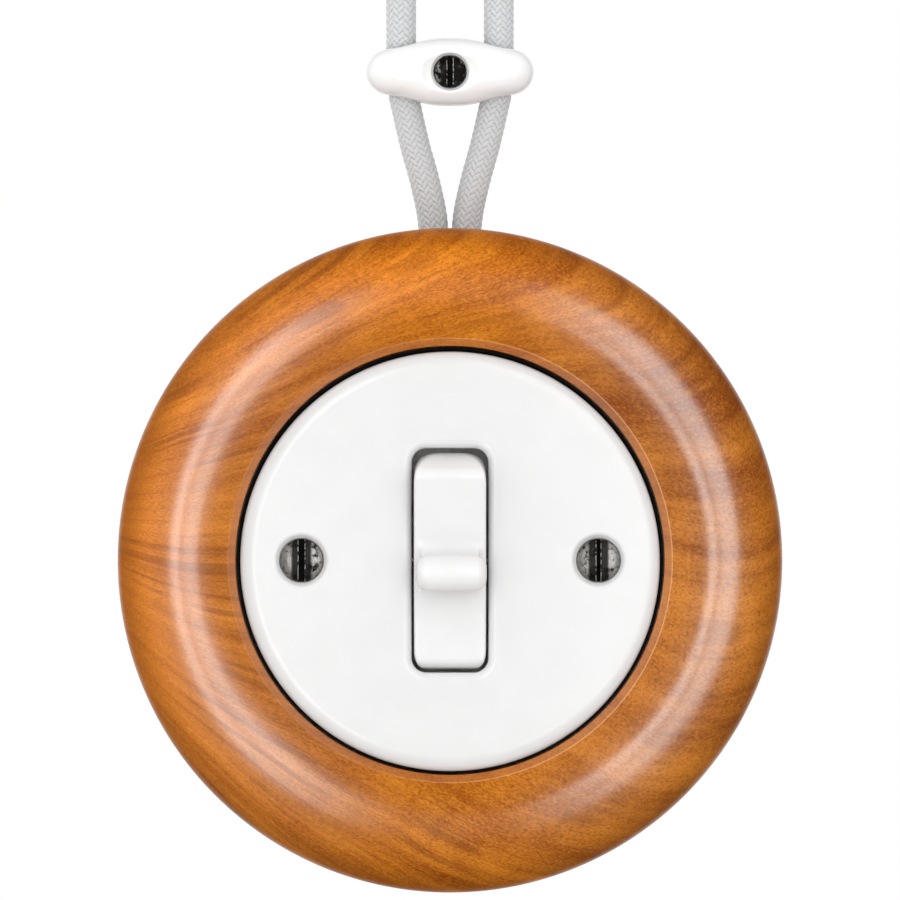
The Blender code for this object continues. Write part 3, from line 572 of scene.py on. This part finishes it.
def worn_steel_material(name, centre, slot, seed, patches, brass):
    """Blackened steel rubbed paler in patches, with painted shade in its slot and specks of brass on it."""
    n = Nodes(name)
    where = n.place()
    place = n.vector("ADD", where, (seed, 0.0, seed))
    ragged = n.maths("SUBTRACT", n.noise(place, 2.0, 3.0), 0.5)
    aside = n.weighted([(n.off(n.split(where)[0], centre), 1.0), (ragged, 0.3)])
    worn = n.noise(place, 0.8, 3.0, 0.6)
    scratch = n.noise(n.vector("MULTIPLY", place, (4.0, 1.0, 1.0)), 1.1, 3.0)
    share = n.between(worn, patches - 0.08, patches + 0.12)
    share = n.times(share, n.between(scratch, 0.3, 0.6, 0.6, 1.0))
    share = n.times(share, n.between(aside, 1.7, 2.4, 0.05, 1.0))
    colour = n.mix(share, srgb(20, 18, 16), srgb(168, 166, 162))
    specks = n.between(n.noise(place, 2.6, 2.0), brass, brass + 0.05)
    colour = n.mix(n.times(specks, 0.5), colour, srgb(128, 88, 62))
    along = n.noise(n.vector("MULTIPLY", place, (0.6, 1.0, 1.6)), 1.0)
    lip = n.between(n.off(aside, slot / 2 + 0.1), 0.03, 0.14, 1.0, 0.0)
    lip = n.times(lip, n.between(along, 0.42, 0.56))
    colour = n.mix(n.times(lip, 0.8), colour, srgb(176, 174, 170))
    # Painted shade: the inside of the slot darkened nearly to black.
    painted_slot_shade = n.between(aside, slot / 2 - 0.06, slot / 2 + 0.04, 1.0, 0.0)
    colour = n.mix(painted_slot_shade, colour, srgb(10, 9, 8))
    height = n.weighted([(worn, 0.6), (n.noise(place, 3.0, 3.0), 0.4)])
    return n.finish(
        Base_Color=colour,
        Roughness=n.between(share, 0.0, 1.0, 0.45, 0.34),
        Metallic=0.8,
        Normal=n.bump(height, 0.06, 0.6),
        Specular_IOR_Level=0.15,
    )


def braid_material():
    """Textile braid: light grey yarn, with painted shade in the creases where the strands dip under each
    other.
    """
    n = Nodes("braid")
    place = n.place()
    weave = n.add("ShaderNodeAttribute", attribute_name="weave").outputs["Fac"]
    yarn = n.noise(place, 5.0, 2.0, 0.7)
    high = n.mix(n.between(yarn, 0.35, 0.65), srgb(168, 169, 170), srgb(184, 185, 186))
    # Painted shade: the creases between the strands darker than the strands' tops.
    colour = n.mix(n.between(weave, 0.2, 0.8), srgb(134, 135, 136), high)
    height = n.weighted([(n.noise(place, 9.0), 1.0), (yarn, 0.7)])
    return n.finish(
        Base_Color=colour,
        Roughness=0.85,
        Normal=n.bump(height, 0.05, 0.5),
        Sheen_Weight=0.15,
        Sheen_Roughness=0.5,
    )


MATERIALS = {
    "porcelain": porcelain_material("porcelain", 191),
    # Painted light: the rocker's and the clip's glaze are the plate's porcelain painted lighter, to make up
    # for the light they get.
    "rocker_porcelain_painted_lighter": porcelain_material("rocker_porcelain_painted_lighter", 196),
    "clip_porcelain_painted_lighter": porcelain_material("clip_porcelain_painted_lighter", 209),
    "wood": wood_material(),
    "black_plastic": plain_material("black_plastic", (0.003, 0.003, 0.003), 0.4, gloss=0.05),
    "grey_plastic": plain_material("grey_plastic", (0.72, 0.71, 0.68), 0.48, grain=2.5, depth=0.04),
    "base_plastic": plain_material("base_plastic", (0.36, 0.36, 0.35), 0.5, grain=2.5, depth=0.04),
    "zinc_steel": plain_material("zinc_steel", (0.60, 0.60, 0.57), 0.33, 1.0),
    "spring_steel": plain_material("spring_steel", (0.52, 0.52, 0.51), 0.28, 1.0),
    "brass": plain_material("brass", (0.68, 0.47, 0.19), 0.30, 1.0),
    "silver": plain_material("silver", (0.80, 0.80, 0.77), 0.22, 1.0),
    "textile": braid_material(),
    "core_brown": plain_material("core_brown", (0.14, 0.05, 0.02), 0.42),
    "core_blue": plain_material("core_blue", (0.02, 0.12, 0.42), 0.42),
    "core_green": plain_material("core_green", (0.22, 0.42, 0.04), 0.42),
}

NODE_MATERIALS = {
    "base_plate": "base_plastic",
    "seat_ring": "black_plastic",
    "support_ring": "zinc_steel",
    "mechanism_housing": "grey_plastic",
    "mechanism_cover": "grey_plastic",
    "pivot_pin": "spring_steel",
    "plunger_spring": "spring_steel",
    "rocker_carrier": "grey_plastic",
    "cord_clamp": "grey_plastic",
    "plunger": "zinc_steel",
    "contact_tip": "silver",
    "live_core": "core_brown",
    "neutral_core": "core_blue",
    "earth_core": "core_green",
    "wall_screw": "zinc_steel",
    "support_screw": "zinc_steel",
    "mechanism_screw": "zinc_steel",
    "terminal_screw": "zinc_steel",
    "clamp_screw": "zinc_steel",
    "connector_screw": "zinc_steel",
    "common_contact": "brass",
    "fixed_contact": "brass",
    "contact_lever": "brass",
    "terminal_": "brass",
    "neutral_connector": "brass",
    "earth_connector": "brass",
}


def node_material(name):
    """The material of a CAD node, by the longest start of its name that is listed."""
    found = [start for start in NODE_MATERIALS if name.startswith(start)]
    return MATERIALS[NODE_MATERIALS[max(found, key=len)]]


def dress_nodes():
    for name, thing in frame["nodes"].items():
        if thing.hide_render:
            continue
        thing.data.materials.clear()
        thing.data.materials.append(node_material(name))


# ---------------------------------------------------------------- wooden ring


def wood_profile():
    """The ring's section as radius and depth: face, outer side, hollow back, mouth and inner slope."""
    foot_in, foot_out = FOOT
    face = arc((CREST_RADIUS, SHOULDER), (RING_RADIUS - CREST_RADIUS, CREST - SHOULDER), 90, 0, 44)
    side = [(RING_RADIUS, RING_WIDEST), (RING_RADIUS - 0.7, 7.0), (RING_RADIUS - 2.3, 2.6)]
    side = smooth_line(side + [(foot_out + 0.5, 0.25)], 5)
    hollow = [(foot_out, 0.0), (foot_in + 0.3, 0.0), (foot_in, 0.3), (foot_in, 10.0)]
    hollow += [(LEDGE_RADIUS, 24.0), (LEDGE_RADIUS, LEDGE), (MOUTH_RADIUS, LEDGE)]
    slope = arc((CREST_RADIUS, CREST - FRONT_CURVE), FRONT_CURVE, 90 + FRONT_SLOPE, 90, 16)[:-1]
    slope_radius, slope_depth = slope[0]
    edge_radius = MOUTH_RADIUS + CHAMFER
    edge_depth = slope_depth - (slope_radius - edge_radius) * math.tan(math.radians(FRONT_SLOPE))
    band = [(MOUTH_RADIUS, edge_depth - 1.5), (MOUTH_RADIUS + 0.12, edge_depth - 1.32)]
    band += [(edge_radius - 0.18, edge_depth - 0.2), (edge_radius - 0.05, edge_depth - 0.06)]
    return face + side + hollow + band + [(edge_radius, edge_depth)] + slope


def wood_ring():
    ring = turned("ring", wood_profile(), 256, closed=True)
    half = ENTRY_WIDTH / 2
    x, z = half - ENTRY_CORNER, ENTRY_HEIGHT - ENTRY_CORNER
    arch = arc((-x, z), ENTRY_CORNER, 180, 90, 8) + arc((x, z), ENTRY_CORNER, 90, 0, 8)
    entry = extruded("entry", [(-half, -1.0), *arch, (half, -1.0)], 45.0, RING_RADIUS + 2, axis="Y")
    combine(ring, [entry])
    piece("wood_ring", ring, MATERIALS["wood"], ["wood_frame"], angle=28.0)


# ---------------------------------------------------------------- plate


def slot_cutter():
    """The rocker's opening with a softly rolled edge."""
    base = PLATE_FRONT - SLOT_ROLL
    roll = arc((SLOT_ROLL, base), (SLOT_ROLL, SLOT_ROLL - 0.05), 175, 95, 16)
    reach = SLOT_ROLL + 0.25
    flare = [(0.0, PLATE_BACK - 1.0), (0.0, base), *roll]
    flare += [(reach, PLATE_FRONT + 0.02), (reach, PLATE_FRONT + 1.0)]
    width, height = SLOT_SIZE
    outlines = [rounded_rectangle(width + 2 * w, height + 2 * w, SLOT_CORNER + w) for w, _ in flare]
    return stacked("slot", outlines, [depth for _, depth in flare])


def bore_cutter(x):
    """A screw's bore with its seat, and a rim rolled over into the face."""
    above, below = PLATE_FRONT + 1.0, PLATE_BACK - 1.0
    reach = BORE_RADIUS + 0.91
    hole = SCREW_SHANK + 0.35
    rim = arc((BORE_RADIUS + 0.9, PLATE_FRONT - 0.8), (0.9, 0.8), 90, 140, 12)
    bore = [(0.0, above), (reach, above), (reach, PLATE_FRONT), *rim]
    bore += [(SCREW_HEAD + 0.2, PLATE_FRONT - 1.3), (SCREW_HEAD + 0.15, BORE_FLOOR)]
    bore += [(hole, BORE_FLOOR), (hole, below), (0.0, below)]
    return turned("bore", bore, 128, at=(x, 0.0))


def plate():
    edge = arc((PLATE_RADIUS - 3.2, PLATE_FRONT - 1.9), (3.2, 1.9), 90, 0, 36)
    profile = [(0.0, PLATE_FRONT), (20.0, PLATE_FRONT), (36.0, PLATE_FRONT), *edge]
    profile += [(PLATE_RADIUS, PLATE_BACK + 0.4), (PLATE_RADIUS - 0.12, PLATE_BACK + 0.12)]
    profile += [(PLATE_RADIUS - 0.4, PLATE_BACK), (0.0, PLATE_BACK)]
    disc = turned("plate", profile, 256, at=(0.0, -PLATE_DROP))
    combine(disc, [slot_cutter(), bore_cutter(-SCREW_X), bore_cutter(SCREW_X)])
    piece("porcelain_plate", disc, MATERIALS["porcelain"], ["cover_plate"], angle=FLAT_ANGLE)
    flat = disc.modifiers.new("flat", "WEIGHTED_NORMAL")
    flat.keep_sharp = True
    flat.weight = 100


# ---------------------------------------------------------------- rocker


def rocker_side():
    """Half of the level rocker's side outline without its ridge, from the skirt to the foot."""
    start = math.degrees(math.asin(0.6 / ROCKER_END))
    end = arc((0.0, 0.0), ROCKER_END, start, 24.2, 10)
    corner = arc((18.6, 8.35), 1.65, 35, 90, 6)
    return end + corner + [(14.5, 9.62), (11.0, 9.38), (NECK_FOOT, FOOT_HEIGHT)]


def ridge_side():
    """The neck with its two fillets, from foot to foot, up into the bulb."""
    centre = (NECK_FOOT, FOOT_HEIGHT + NECK_FILLET)
    right = arc(centre, NECK_FILLET, 268, 189.75, 12)
    left = [(-y, z) for y, z in reversed(right)]
    below = FOOT_HEIGHT - 0.6
    return [(-NECK_FOOT, below), (NECK_FOOT, below), *right, (0.0, BULB_HEIGHT), *left]


def bulb():
    half = BULB_WIDTH / 2
    end = arc((BULB_RADIUS - 2.2, half - 2.2), 2.2, 90, 0, 8)
    profile = [(0.0, half), *end] + [(radius, -x) for radius, x in reversed(end)] + [(0.0, -half)]
    bar = turned("bulb", profile, 64)
    place = Matrix.Translation((BULB_SHIFT * MM, 0.0, BULB_HEIGHT * MM))
    bar.data.transform(place @ Matrix.Rotation(math.pi / 2, 4, "Y"))
    return bar


def paddle_end(squareness, steps=16):
    """One blunt end of the rocker seen from the front, from its right side to its left."""
    power = 2 / squareness
    straight = ROCKER_END - PADDLE_END
    corner = []
    for step in range(steps + 1):
        turn = math.pi / 2 * step / steps
        across = max(0.0, math.cos(turn)) ** power
        corner.append((ROCKER_WIDTH / 2 * across, straight + PADDLE_END * math.sin(turn) ** power))
    return corner + [(-x, y) for x, y in reversed(corner[:-1])]


def paddle_outline():
    top, bottom = (paddle_end(squareness) for squareness in PADDLE_SQUARENESS)
    return top + [(-x, -y) for x, y in bottom]


def rocker():
    """The porcelain cap: a paddle with blunt ends, a ridge across it and a hollow for its carrier."""
    half = rocker_side()
    width = ROCKER_WIDTH / 2
    cap = extruded("cap", half + [(-y, z) for y, z in reversed(half)], -width, width, axis="X")
    combine(cap, [extruded("ends", paddle_outline(), -2.0, 12.0)], "INTERSECT")
    neck = NECK_WIDTH / 2
    combine(cap, [extruded("neck", ridge_side(), -neck, neck, axis="X"), bulb()], "UNION")
    hollow = [(-19.9, -1.0), (19.9, -1.0), (19.3, 5.0), (17.3, 7.2), (-17.3, 7.2), (-19.3, 5.0)]
    pin = turned("pin", [(0.0, 9.0), (PIN_RADIUS, 9.0), (PIN_RADIUS, -9.0), (0.0, -9.0)], 32)
    pin.data.transform(Matrix.Rotation(math.pi / 2, 4, "Y"))
    combine(cap, [extruded("hollow", hollow, -5.3, 5.3, axis="X"), pin])
    remesh(cap, 40)
    glaze = MATERIALS["rocker_porcelain_painted_lighter"]
    piece("rocker_paddle", cap, glaze, ["rocker_cap"], "rocker", ROCKER, angle=60.0)


# ---------------------------------------------------------------- clip


def clip_half_height(x):
    """Half of the clip's height at a place along it: a shallow swell with two round ends."""
    body = 4.5 + 2.4 * math.exp(-(abs(x / 9.2) ** 2.6))
    past = abs(x) - (CLIP_LENGTH / 2 - CLIP_END)
    if past <= 0:
        return body
    return body * math.sqrt(max(0.0, 1.0 - (past / CLIP_END) ** 2))


def clip_outline(inset, steps=48):
    reach = CLIP_LENGTH / 2
    along = (reach - inset) / reach
    across = 1.0 - inset / clip_half_height(0.0)
    places = [reach * math.cos(math.pi * step / steps) for step in range(steps + 1)]
    upper = [(x * along, clip_half_height(x) * across) for x in places]
    return upper + [(x, -y) for x, y in reversed(upper)][1:-1]


def clip_channel(x):
    """The hollow for one cable under the clip."""
    low, high = x - CLIP_CHANNEL / 2, x + CLIP_CHANNEL / 2
    radius = 3.5
    crown = arc((high - radius, CABLE_DEPTH), radius, 0, 90, 10)
    crown += arc((low + radius, CABLE_DEPTH), radius, 90, 180, 10)
    return extruded("channel", [(low, -1.0), (high, -1.0), *crown], -9.0, 9.0, axis="Y")


def clip():
    """The clip: an outline drawn in towards its front, two channels, a dish and a bore for its screw."""
    levels = [(0.0, 0.4), (0.4, 0.0), (6.5, 0.0), (8.6, 0.35), (10.4, 1.2), (11.8, 2.6), (CLIP_DEPTH, 4.4)]
    levels = levels[:2] + smooth_line(levels[2:], 5)
    body = stacked("clip", [clip_outline(inset) for _, inset in levels], [depth for depth, _ in levels])
    cutters = [clip_channel(-9.6), clip_channel(9.6)]
    cutters.append(ball("dish", (7.0, 5.5, 4.0), (0.0, 0.0, CLIP_DEPTH + 2.2)))
    bore = [(0.0, 20.0), (3.8, 20.0), (3.8, 11.0), (3.4, 10.2), (3.35, 8.5), (2.2, 8.5), (2.2, -1.0)]
    cutters.append(turned("bore", bore + [(0.0, -1.0)], 64))
    combine(body, cutters)
    remesh(body, 10)
    place = FRONT @ Matrix.Translation((0.0, CLIP_CENTRE * MM, 0.0))
    glaze = MATERIALS["clip_porcelain_painted_lighter"]
    piece("porcelain_clip", body, glaze, ["cable_clip"], place=place, angle=60.0)


# ---------------------------------------------------------------- screws


def ragged_slot(width, reach, low, high, seed, roughness):
    """The tool that cuts a screw's slot, with walls as uneven as a slot that has been used."""
    rows = 90
    left, right = [], []
    for row in range(rows + 1):
        y = -reach + 2 * reach * row / rows
        for wall, side in ((left, -1), (right, 1)):
            rough = noise.fractal(Vector((seed + side * 7.0, y * 2.2, 0.0)), 0.8, 2.0, 4) * roughness
            wall.append((side * width / 2 + rough, y))
    return stacked("slot", [left + right[::-1]] * 2, [low, high])


def screw_profile(seat, radius, height, dome, shank, tip):
    """A domed head with a rolled rim, and its shank, as radius and depth."""
    top = seat + height
    rings = 34
    crown = []
    for ring in range(rings + 1):
        r = (radius - 0.28) * ring / rings
        crown.append((r, top + dome * (1 - (r / radius) ** 3.4) - 0.02))
    rim = arc((radius - 0.3, top - 0.32), 0.3, 80, 0, 5)
    under = [(radius, seat + 0.15), (radius - 0.12, seat), (shank + 0.15, seat), (shank, seat - 0.2)]
    return crown + rim + under + [(shank, tip + 0.2), (shank - 0.2, tip), (0.0, tip)]


def screw(at, seat, radius, height, dome, shank, tip, slot, seed, roughness):
    """A domed slotted screw with a hammered crown and raised burrs beside its slot."""
    top = seat + height
    thing = turned("screw", screw_profile(seat, radius, height, dome, shank, tip), 160)
    for vertex in thing.data.vertices:
        x, y, z = (value / MM for value in vertex.co)
        if z < top - 0.35:
            continue
        near = max(0.0, 1.0 - abs(abs(x) - slot / 2 - 0.12) / 0.22)
        burr = near * (0.08 + 0.12 * noise.noise(Vector((x * 1.5 + seed, y * 2.4, seed))))
        dents = 0.02 * noise.fractal(Vector((x * 1.3, y * 1.3, seed * 2.0)), 0.7, 2.0, 3)
        vertex.co.z += (burr + dents) * MM
    depth = min(1.4, height * 0.75)
    combine(thing, [ragged_slot(slot, radius + 1, top - depth, top + dome + 1, seed, roughness)])
    thing.data.transform(Matrix.Translation((at[0] * MM, at[1] * MM, 0.0)))
    return thing


def screws():
    side = {"seat": SCREW_SEAT, "radius": SCREW_HEAD, "height": 1.9, "dome": 0.7, "shank": SCREW_SHANK}
    side.update(tip=19.0, roughness=0.07)
    small = {"seat": 8.7, "radius": CLIP_SCREW_HEAD, "height": 1.6, "dome": 0.4, "shank": 1.9}
    small.update(tip=0.0, roughness=0.05)
    made = screw((-SCREW_X, 0.0), slot=1.2, seed=3.1, **side)
    steel = worn_steel_material("worn_steel_left", -SCREW_X, 1.2, 3.0, 0.40, 0.70)
    piece("cover_screw_1", made, steel, ["cover_screw_left"])
    made = screw((SCREW_X, 0.0), slot=0.8, seed=8.4, **side)
    steel = worn_steel_material("worn_steel_right", SCREW_X, 0.8, 11.0, 0.40, 0.66)
    piece("cover_screw_2", made, steel, ["cover_screw_right"])
    made = screw((0.0, CLIP_CENTRE), slot=1.1, seed=14.7, **small)
    steel = worn_steel_material("worn_steel_clip", 0.0, 1.1, 21.0, 0.58, 0.80)
    piece("clip_fixing_screw", made, steel, ["clip_screw"])


# ---------------------------------------------------------------- cables


def weave_height(around, along):
    """Height of a braid that goes over two and under two: 0 in its creases to 1 on its strands."""

    def strand(across, lengthwise):
        offset = across - np.round(across)
        profile = np.sqrt(np.clip(1.0 - (offset / 0.52) ** 2, 0.0, 1.0))
        lift = np.cos(math.pi / 2 * (lengthwise + np.round(across) - 0.5))
        yarns = 0.06 * np.cos(2 * math.pi * 3 * offset)
        return profile * (0.60 + 0.40 * lift + yarns)

    first, second = around + along, around - along
    return np.clip(np.maximum(strand(first, second), strand(second, first + 2.0)), 0.0, 1.0)


def braided_mesh(name, line, run):
    """The braid's surface round a line, with its height over the creases kept for the material."""
    rows = int(run[-1] / BRAID_STEP)
    places = np.linspace(0.0, run[-1], rows + 1)
    centre = np.stack([np.interp(places, run, line[:, axis]) for axis in (0, 1)], axis=1)
    tangent = np.gradient(centre, axis=0)
    tangent /= np.linalg.norm(tangent, axis=1)[:, None]
    columns = CARRIERS * 8
    angles = np.arange(columns) * 2 * math.pi / columns
    around = CARRIERS * angles / (2 * math.pi)
    height = weave_height(around[None, :] + 0.25, places[:, None] / WEAVE_PITCH)
    radius = CABLE_DIAMETER / 2 - WEAVE_DEPTH * (1.0 - height)
    outward = np.cos(angles)[None, :] * radius
    points = np.empty((rows + 1, columns, 3))
    points[:, :, 0] = centre[:, None, 0] + outward * tangent[:, None, 1]
    points[:, :, 1] = centre[:, None, 1] - outward * tangent[:, None, 0]
    points[:, :, 2] = CABLE_DEPTH + np.sin(angles)[None, :] * radius
    mesh = bpy.data.meshes.new(name)
    faces = grid_faces(rows + 1, columns)
    faces.append(tuple(range(columns)))
    faces.append(tuple(rows * columns + i for i in range(columns))[::-1])
    mesh.from_pydata((points.reshape(-1, 3) * MM).tolist(), [], faces)
    weave = mesh.attributes.new("weave", "FLOAT", "POINT")
    weave.data.foreach_set("value", height.reshape(-1).astype(np.float32))
    return mesh


def braided_cable(name, side, node):
    line = np.array(smooth_line([(side * x, y) for x, y in reversed(CABLE_ROUTE)], 8))
    run = np.concatenate([[0.0], np.cumsum(np.linalg.norm(np.diff(line, axis=0), axis=1))])
    mesh = braided_mesh(name, line, run)
    if side > 0:
        mesh.flip_normals()
    cable = piece(name, new_object(name, mesh), MATERIALS["textile"], [node], angle=180.0)


def upright(name, profile, at, steps=40):
    """A turned shape standing along Y, from (radius, y) points."""
    thing = turned(name, profile, steps)
    turn = Matrix.Rotation(-math.pi / 2, 4, "X")
    thing.data.transform(Matrix.Translation((at[0] * MM, 0.0, at[1] * MM)) @ turn)
    return thing


def ferrule_profile(tip):
    """A ferrule with four crimped grooves, on a core that ends at the tip."""
    radius = 0.85
    profile = [(0.0, tip - 0.5), (radius, tip - 0.5), (radius, tip + 0.9)]
    for groove in range(4):
        y = tip + 1.5 + groove * 0.9
        profile += [(radius, y - 0.3), (0.74, y), (radius, y + 0.3)]
    return profile + [(0.82, tip + 5.8), (0.68, tip + 6.0), (0.0, tip + 6.0)]


def cable_end(label, side):
    """A shrunk sleeve over the jacket's end, and three bared cores with their ferrules."""
    at = (side * CABLE_ROUTE[0][0], CABLE_DEPTH)
    node = f"cable_end_{label}"
    black = MATERIALS["black_plastic"]
    zinc = MATERIALS["zinc_steel"]
    low, high = JACKET_TOP - 5.5, JACKET_TOP + 1.6
    outside = [(3.2, low), (3.42, low + 0.05), (3.55, low + 0.35), (3.5, low + 1.6), (3.53, low + 3.0)]
    outside += [(3.5, low + 5.4), (3.35, low + 6.4), (3.1, high - 0.25), (2.8, high), (0.0, high)]
    inside = [(0.0, JACKET_TOP + 0.3), (3.2, JACKET_TOP + 0.3)]
    sleeve = upright("sleeve", inside + outside, at, 64)
    made = [piece(f"{label}_sleeve", sleeve, black, [node], angle=50.0)]
    base, tip = JACKET_TOP + 1.0, JACKET_TOP + 11.0
    places = arc(at, CORE_SPREAD, 30, 270, 2)
    for place, slot in zip(places, ("core_brown", "core_blue", "core_green")):
        core = [(0.0, base), (1.1, base), (1.1, tip - 0.12), (0.98, tip), (0.0, tip)]
        core = upright("core", core, place)
        made.append(piece(f"{label}_{slot}", core, MATERIALS[slot], [node], angle=50.0))
        ferrule = upright("ferrule", ferrule_profile(tip), place)
        made.append(piece(f"{label}_{slot}_ferrule", ferrule, zinc, [node]))
    return made


def cables():
    for label, side in (("left", -1), ("right", 1)):
        ends = cable_end(label, side)
        braided_cable(f"braided_cable_{label}", side, f"cable_{label}")


# ---------------------------------------------------------------- stage


def camera():
    data = bpy.data.cameras.new("camera")
    data.sensor_width = 36.0
    data.lens = 36.0 * CAMERA_DISTANCE / VIEW_WIDTH
    data.clip_start, data.clip_end = 0.1, 40.0
    view = bpy.data.objects.new("camera", data)
    bpy.context.scene.collection.objects.link(view)
    view.location = (0.0, -CAMERA_DISTANCE - PLATE_FRONT * MM, VIEW_HEIGHT)
    view.rotation_euler = (math.pi / 2, 0.0, 0.0)
    bpy.context.scene.camera = view


def softbox(name, low, high, radiance):
    """An upright area light in front of the wall, between two corners given as X and Z."""
    data = bpy.data.lights.new(name, "AREA")
    data.shape = "RECTANGLE"
    data.size, data.size_y = high[0] - low[0], high[1] - low[1]
    data.energy = radiance * math.pi * data.size * data.size_y
    light = bpy.data.objects.new(name, data)
    bpy.context.scene.collection.objects.link(light)
    light.location = ((low[0] + high[0]) / 2, -SOFTBOX_DISTANCE, (low[1] + high[1]) / 2)
    light.rotation_euler = (math.pi / 2, 0.0, 0.0)
    light.visible_camera = False


def tent():
    """A light tent of six large panels, which shine on everything and aren't mirrored in it."""
    for turn, radiance in TENT:
        data = bpy.data.lights.new("tent", "AREA")
        data.size = 2 * TENT_REACH
        data.energy = radiance * math.pi * data.size**2
        light = bpy.data.objects.new("tent", data)
        bpy.context.scene.collection.objects.link(light)
        light.rotation_euler = [math.radians(angle) for angle in turn]
        light.location = light.rotation_euler.to_matrix() @ Vector((0.0, 0.0, TENT_REACH))
        light.visible_camera = False
        light.visible_glossy = False


def world():
    """White behind the object, as the camera sees it, and a dim room with a white wall for reflections."""
    made = bpy.data.worlds.new("studio")
    bpy.context.scene.world = made
    made.use_nodes = True
    tree = made.node_tree
    tree.nodes.clear()
    direction = tree.nodes.new("ShaderNodeTexCoord").outputs["Generated"]
    split = tree.nodes.new("ShaderNodeSeparateXYZ")
    tree.links.new(direction, split.inputs[0])
    behind = tree.nodes.new("ShaderNodeMapRange")
    behind.interpolation_type = "SMOOTHSTEP"
    behind.inputs[1].default_value = 0.8
    behind.inputs[2].default_value = 0.97
    behind.inputs[3].default_value = ROOM_LIGHT
    behind.inputs[4].default_value = WALL_LIGHT
    tree.links.new(split.outputs[1], behind.inputs[0])
    room = tree.nodes.new("ShaderNodeBackground")
    tree.links.new(behind.outputs[0], room.inputs["Strength"])
    room.inputs["Color"].default_value = (1.0, 1.0, 1.0, 1.0)
    white = tree.nodes.new("ShaderNodeBackground")
    white.inputs["Color"].default_value = (1.0, 1.0, 1.0, 1.0)
    ray = tree.nodes.new("ShaderNodeLightPath")
    choice = tree.nodes.new("ShaderNodeMixShader")
    tree.links.new(ray.outputs["Is Camera Ray"], choice.inputs[0])
    tree.links.new(room.outputs[0], choice.inputs[1])
    tree.links.new(white.outputs[0], choice.inputs[2])
    output = tree.nodes.new("ShaderNodeOutputWorld")
    tree.links.new(choice.outputs[0], output.inputs[0])


def floor():
    n = Nodes("floor")
    place = n.place(1.0)
    mottle = n.between(n.noise(place, 6.0, 3.0), 0.3, 0.7)
    colour = n.mix(mottle, srgb(232, 232, 230), srgb(238, 238, 236))
    material = n.finish(Base_Color=colour, Roughness=0.7)
    thing = stacked("floor", [rounded_rectangle(2400, 2400, 200)] * 2, [-910.0, -900.0])
    thing.data.materials.append(material)
    thing.visible_glossy = False


def stage():
    camera()
    world()
    floor()
    for name, (low, high, radiance) in SOFTBOXES.items():
        softbox(name, low, high, radiance)
    tent()
    scene = bpy.context.scene
    scene.view_settings.view_transform = "Standard"
    scene.view_settings.look = "None"


# ---------------------------------------------------------------- assembly

stage()
cables()
wood_ring()
plate()
rocker()
clip()
screws()
dress_nodes()
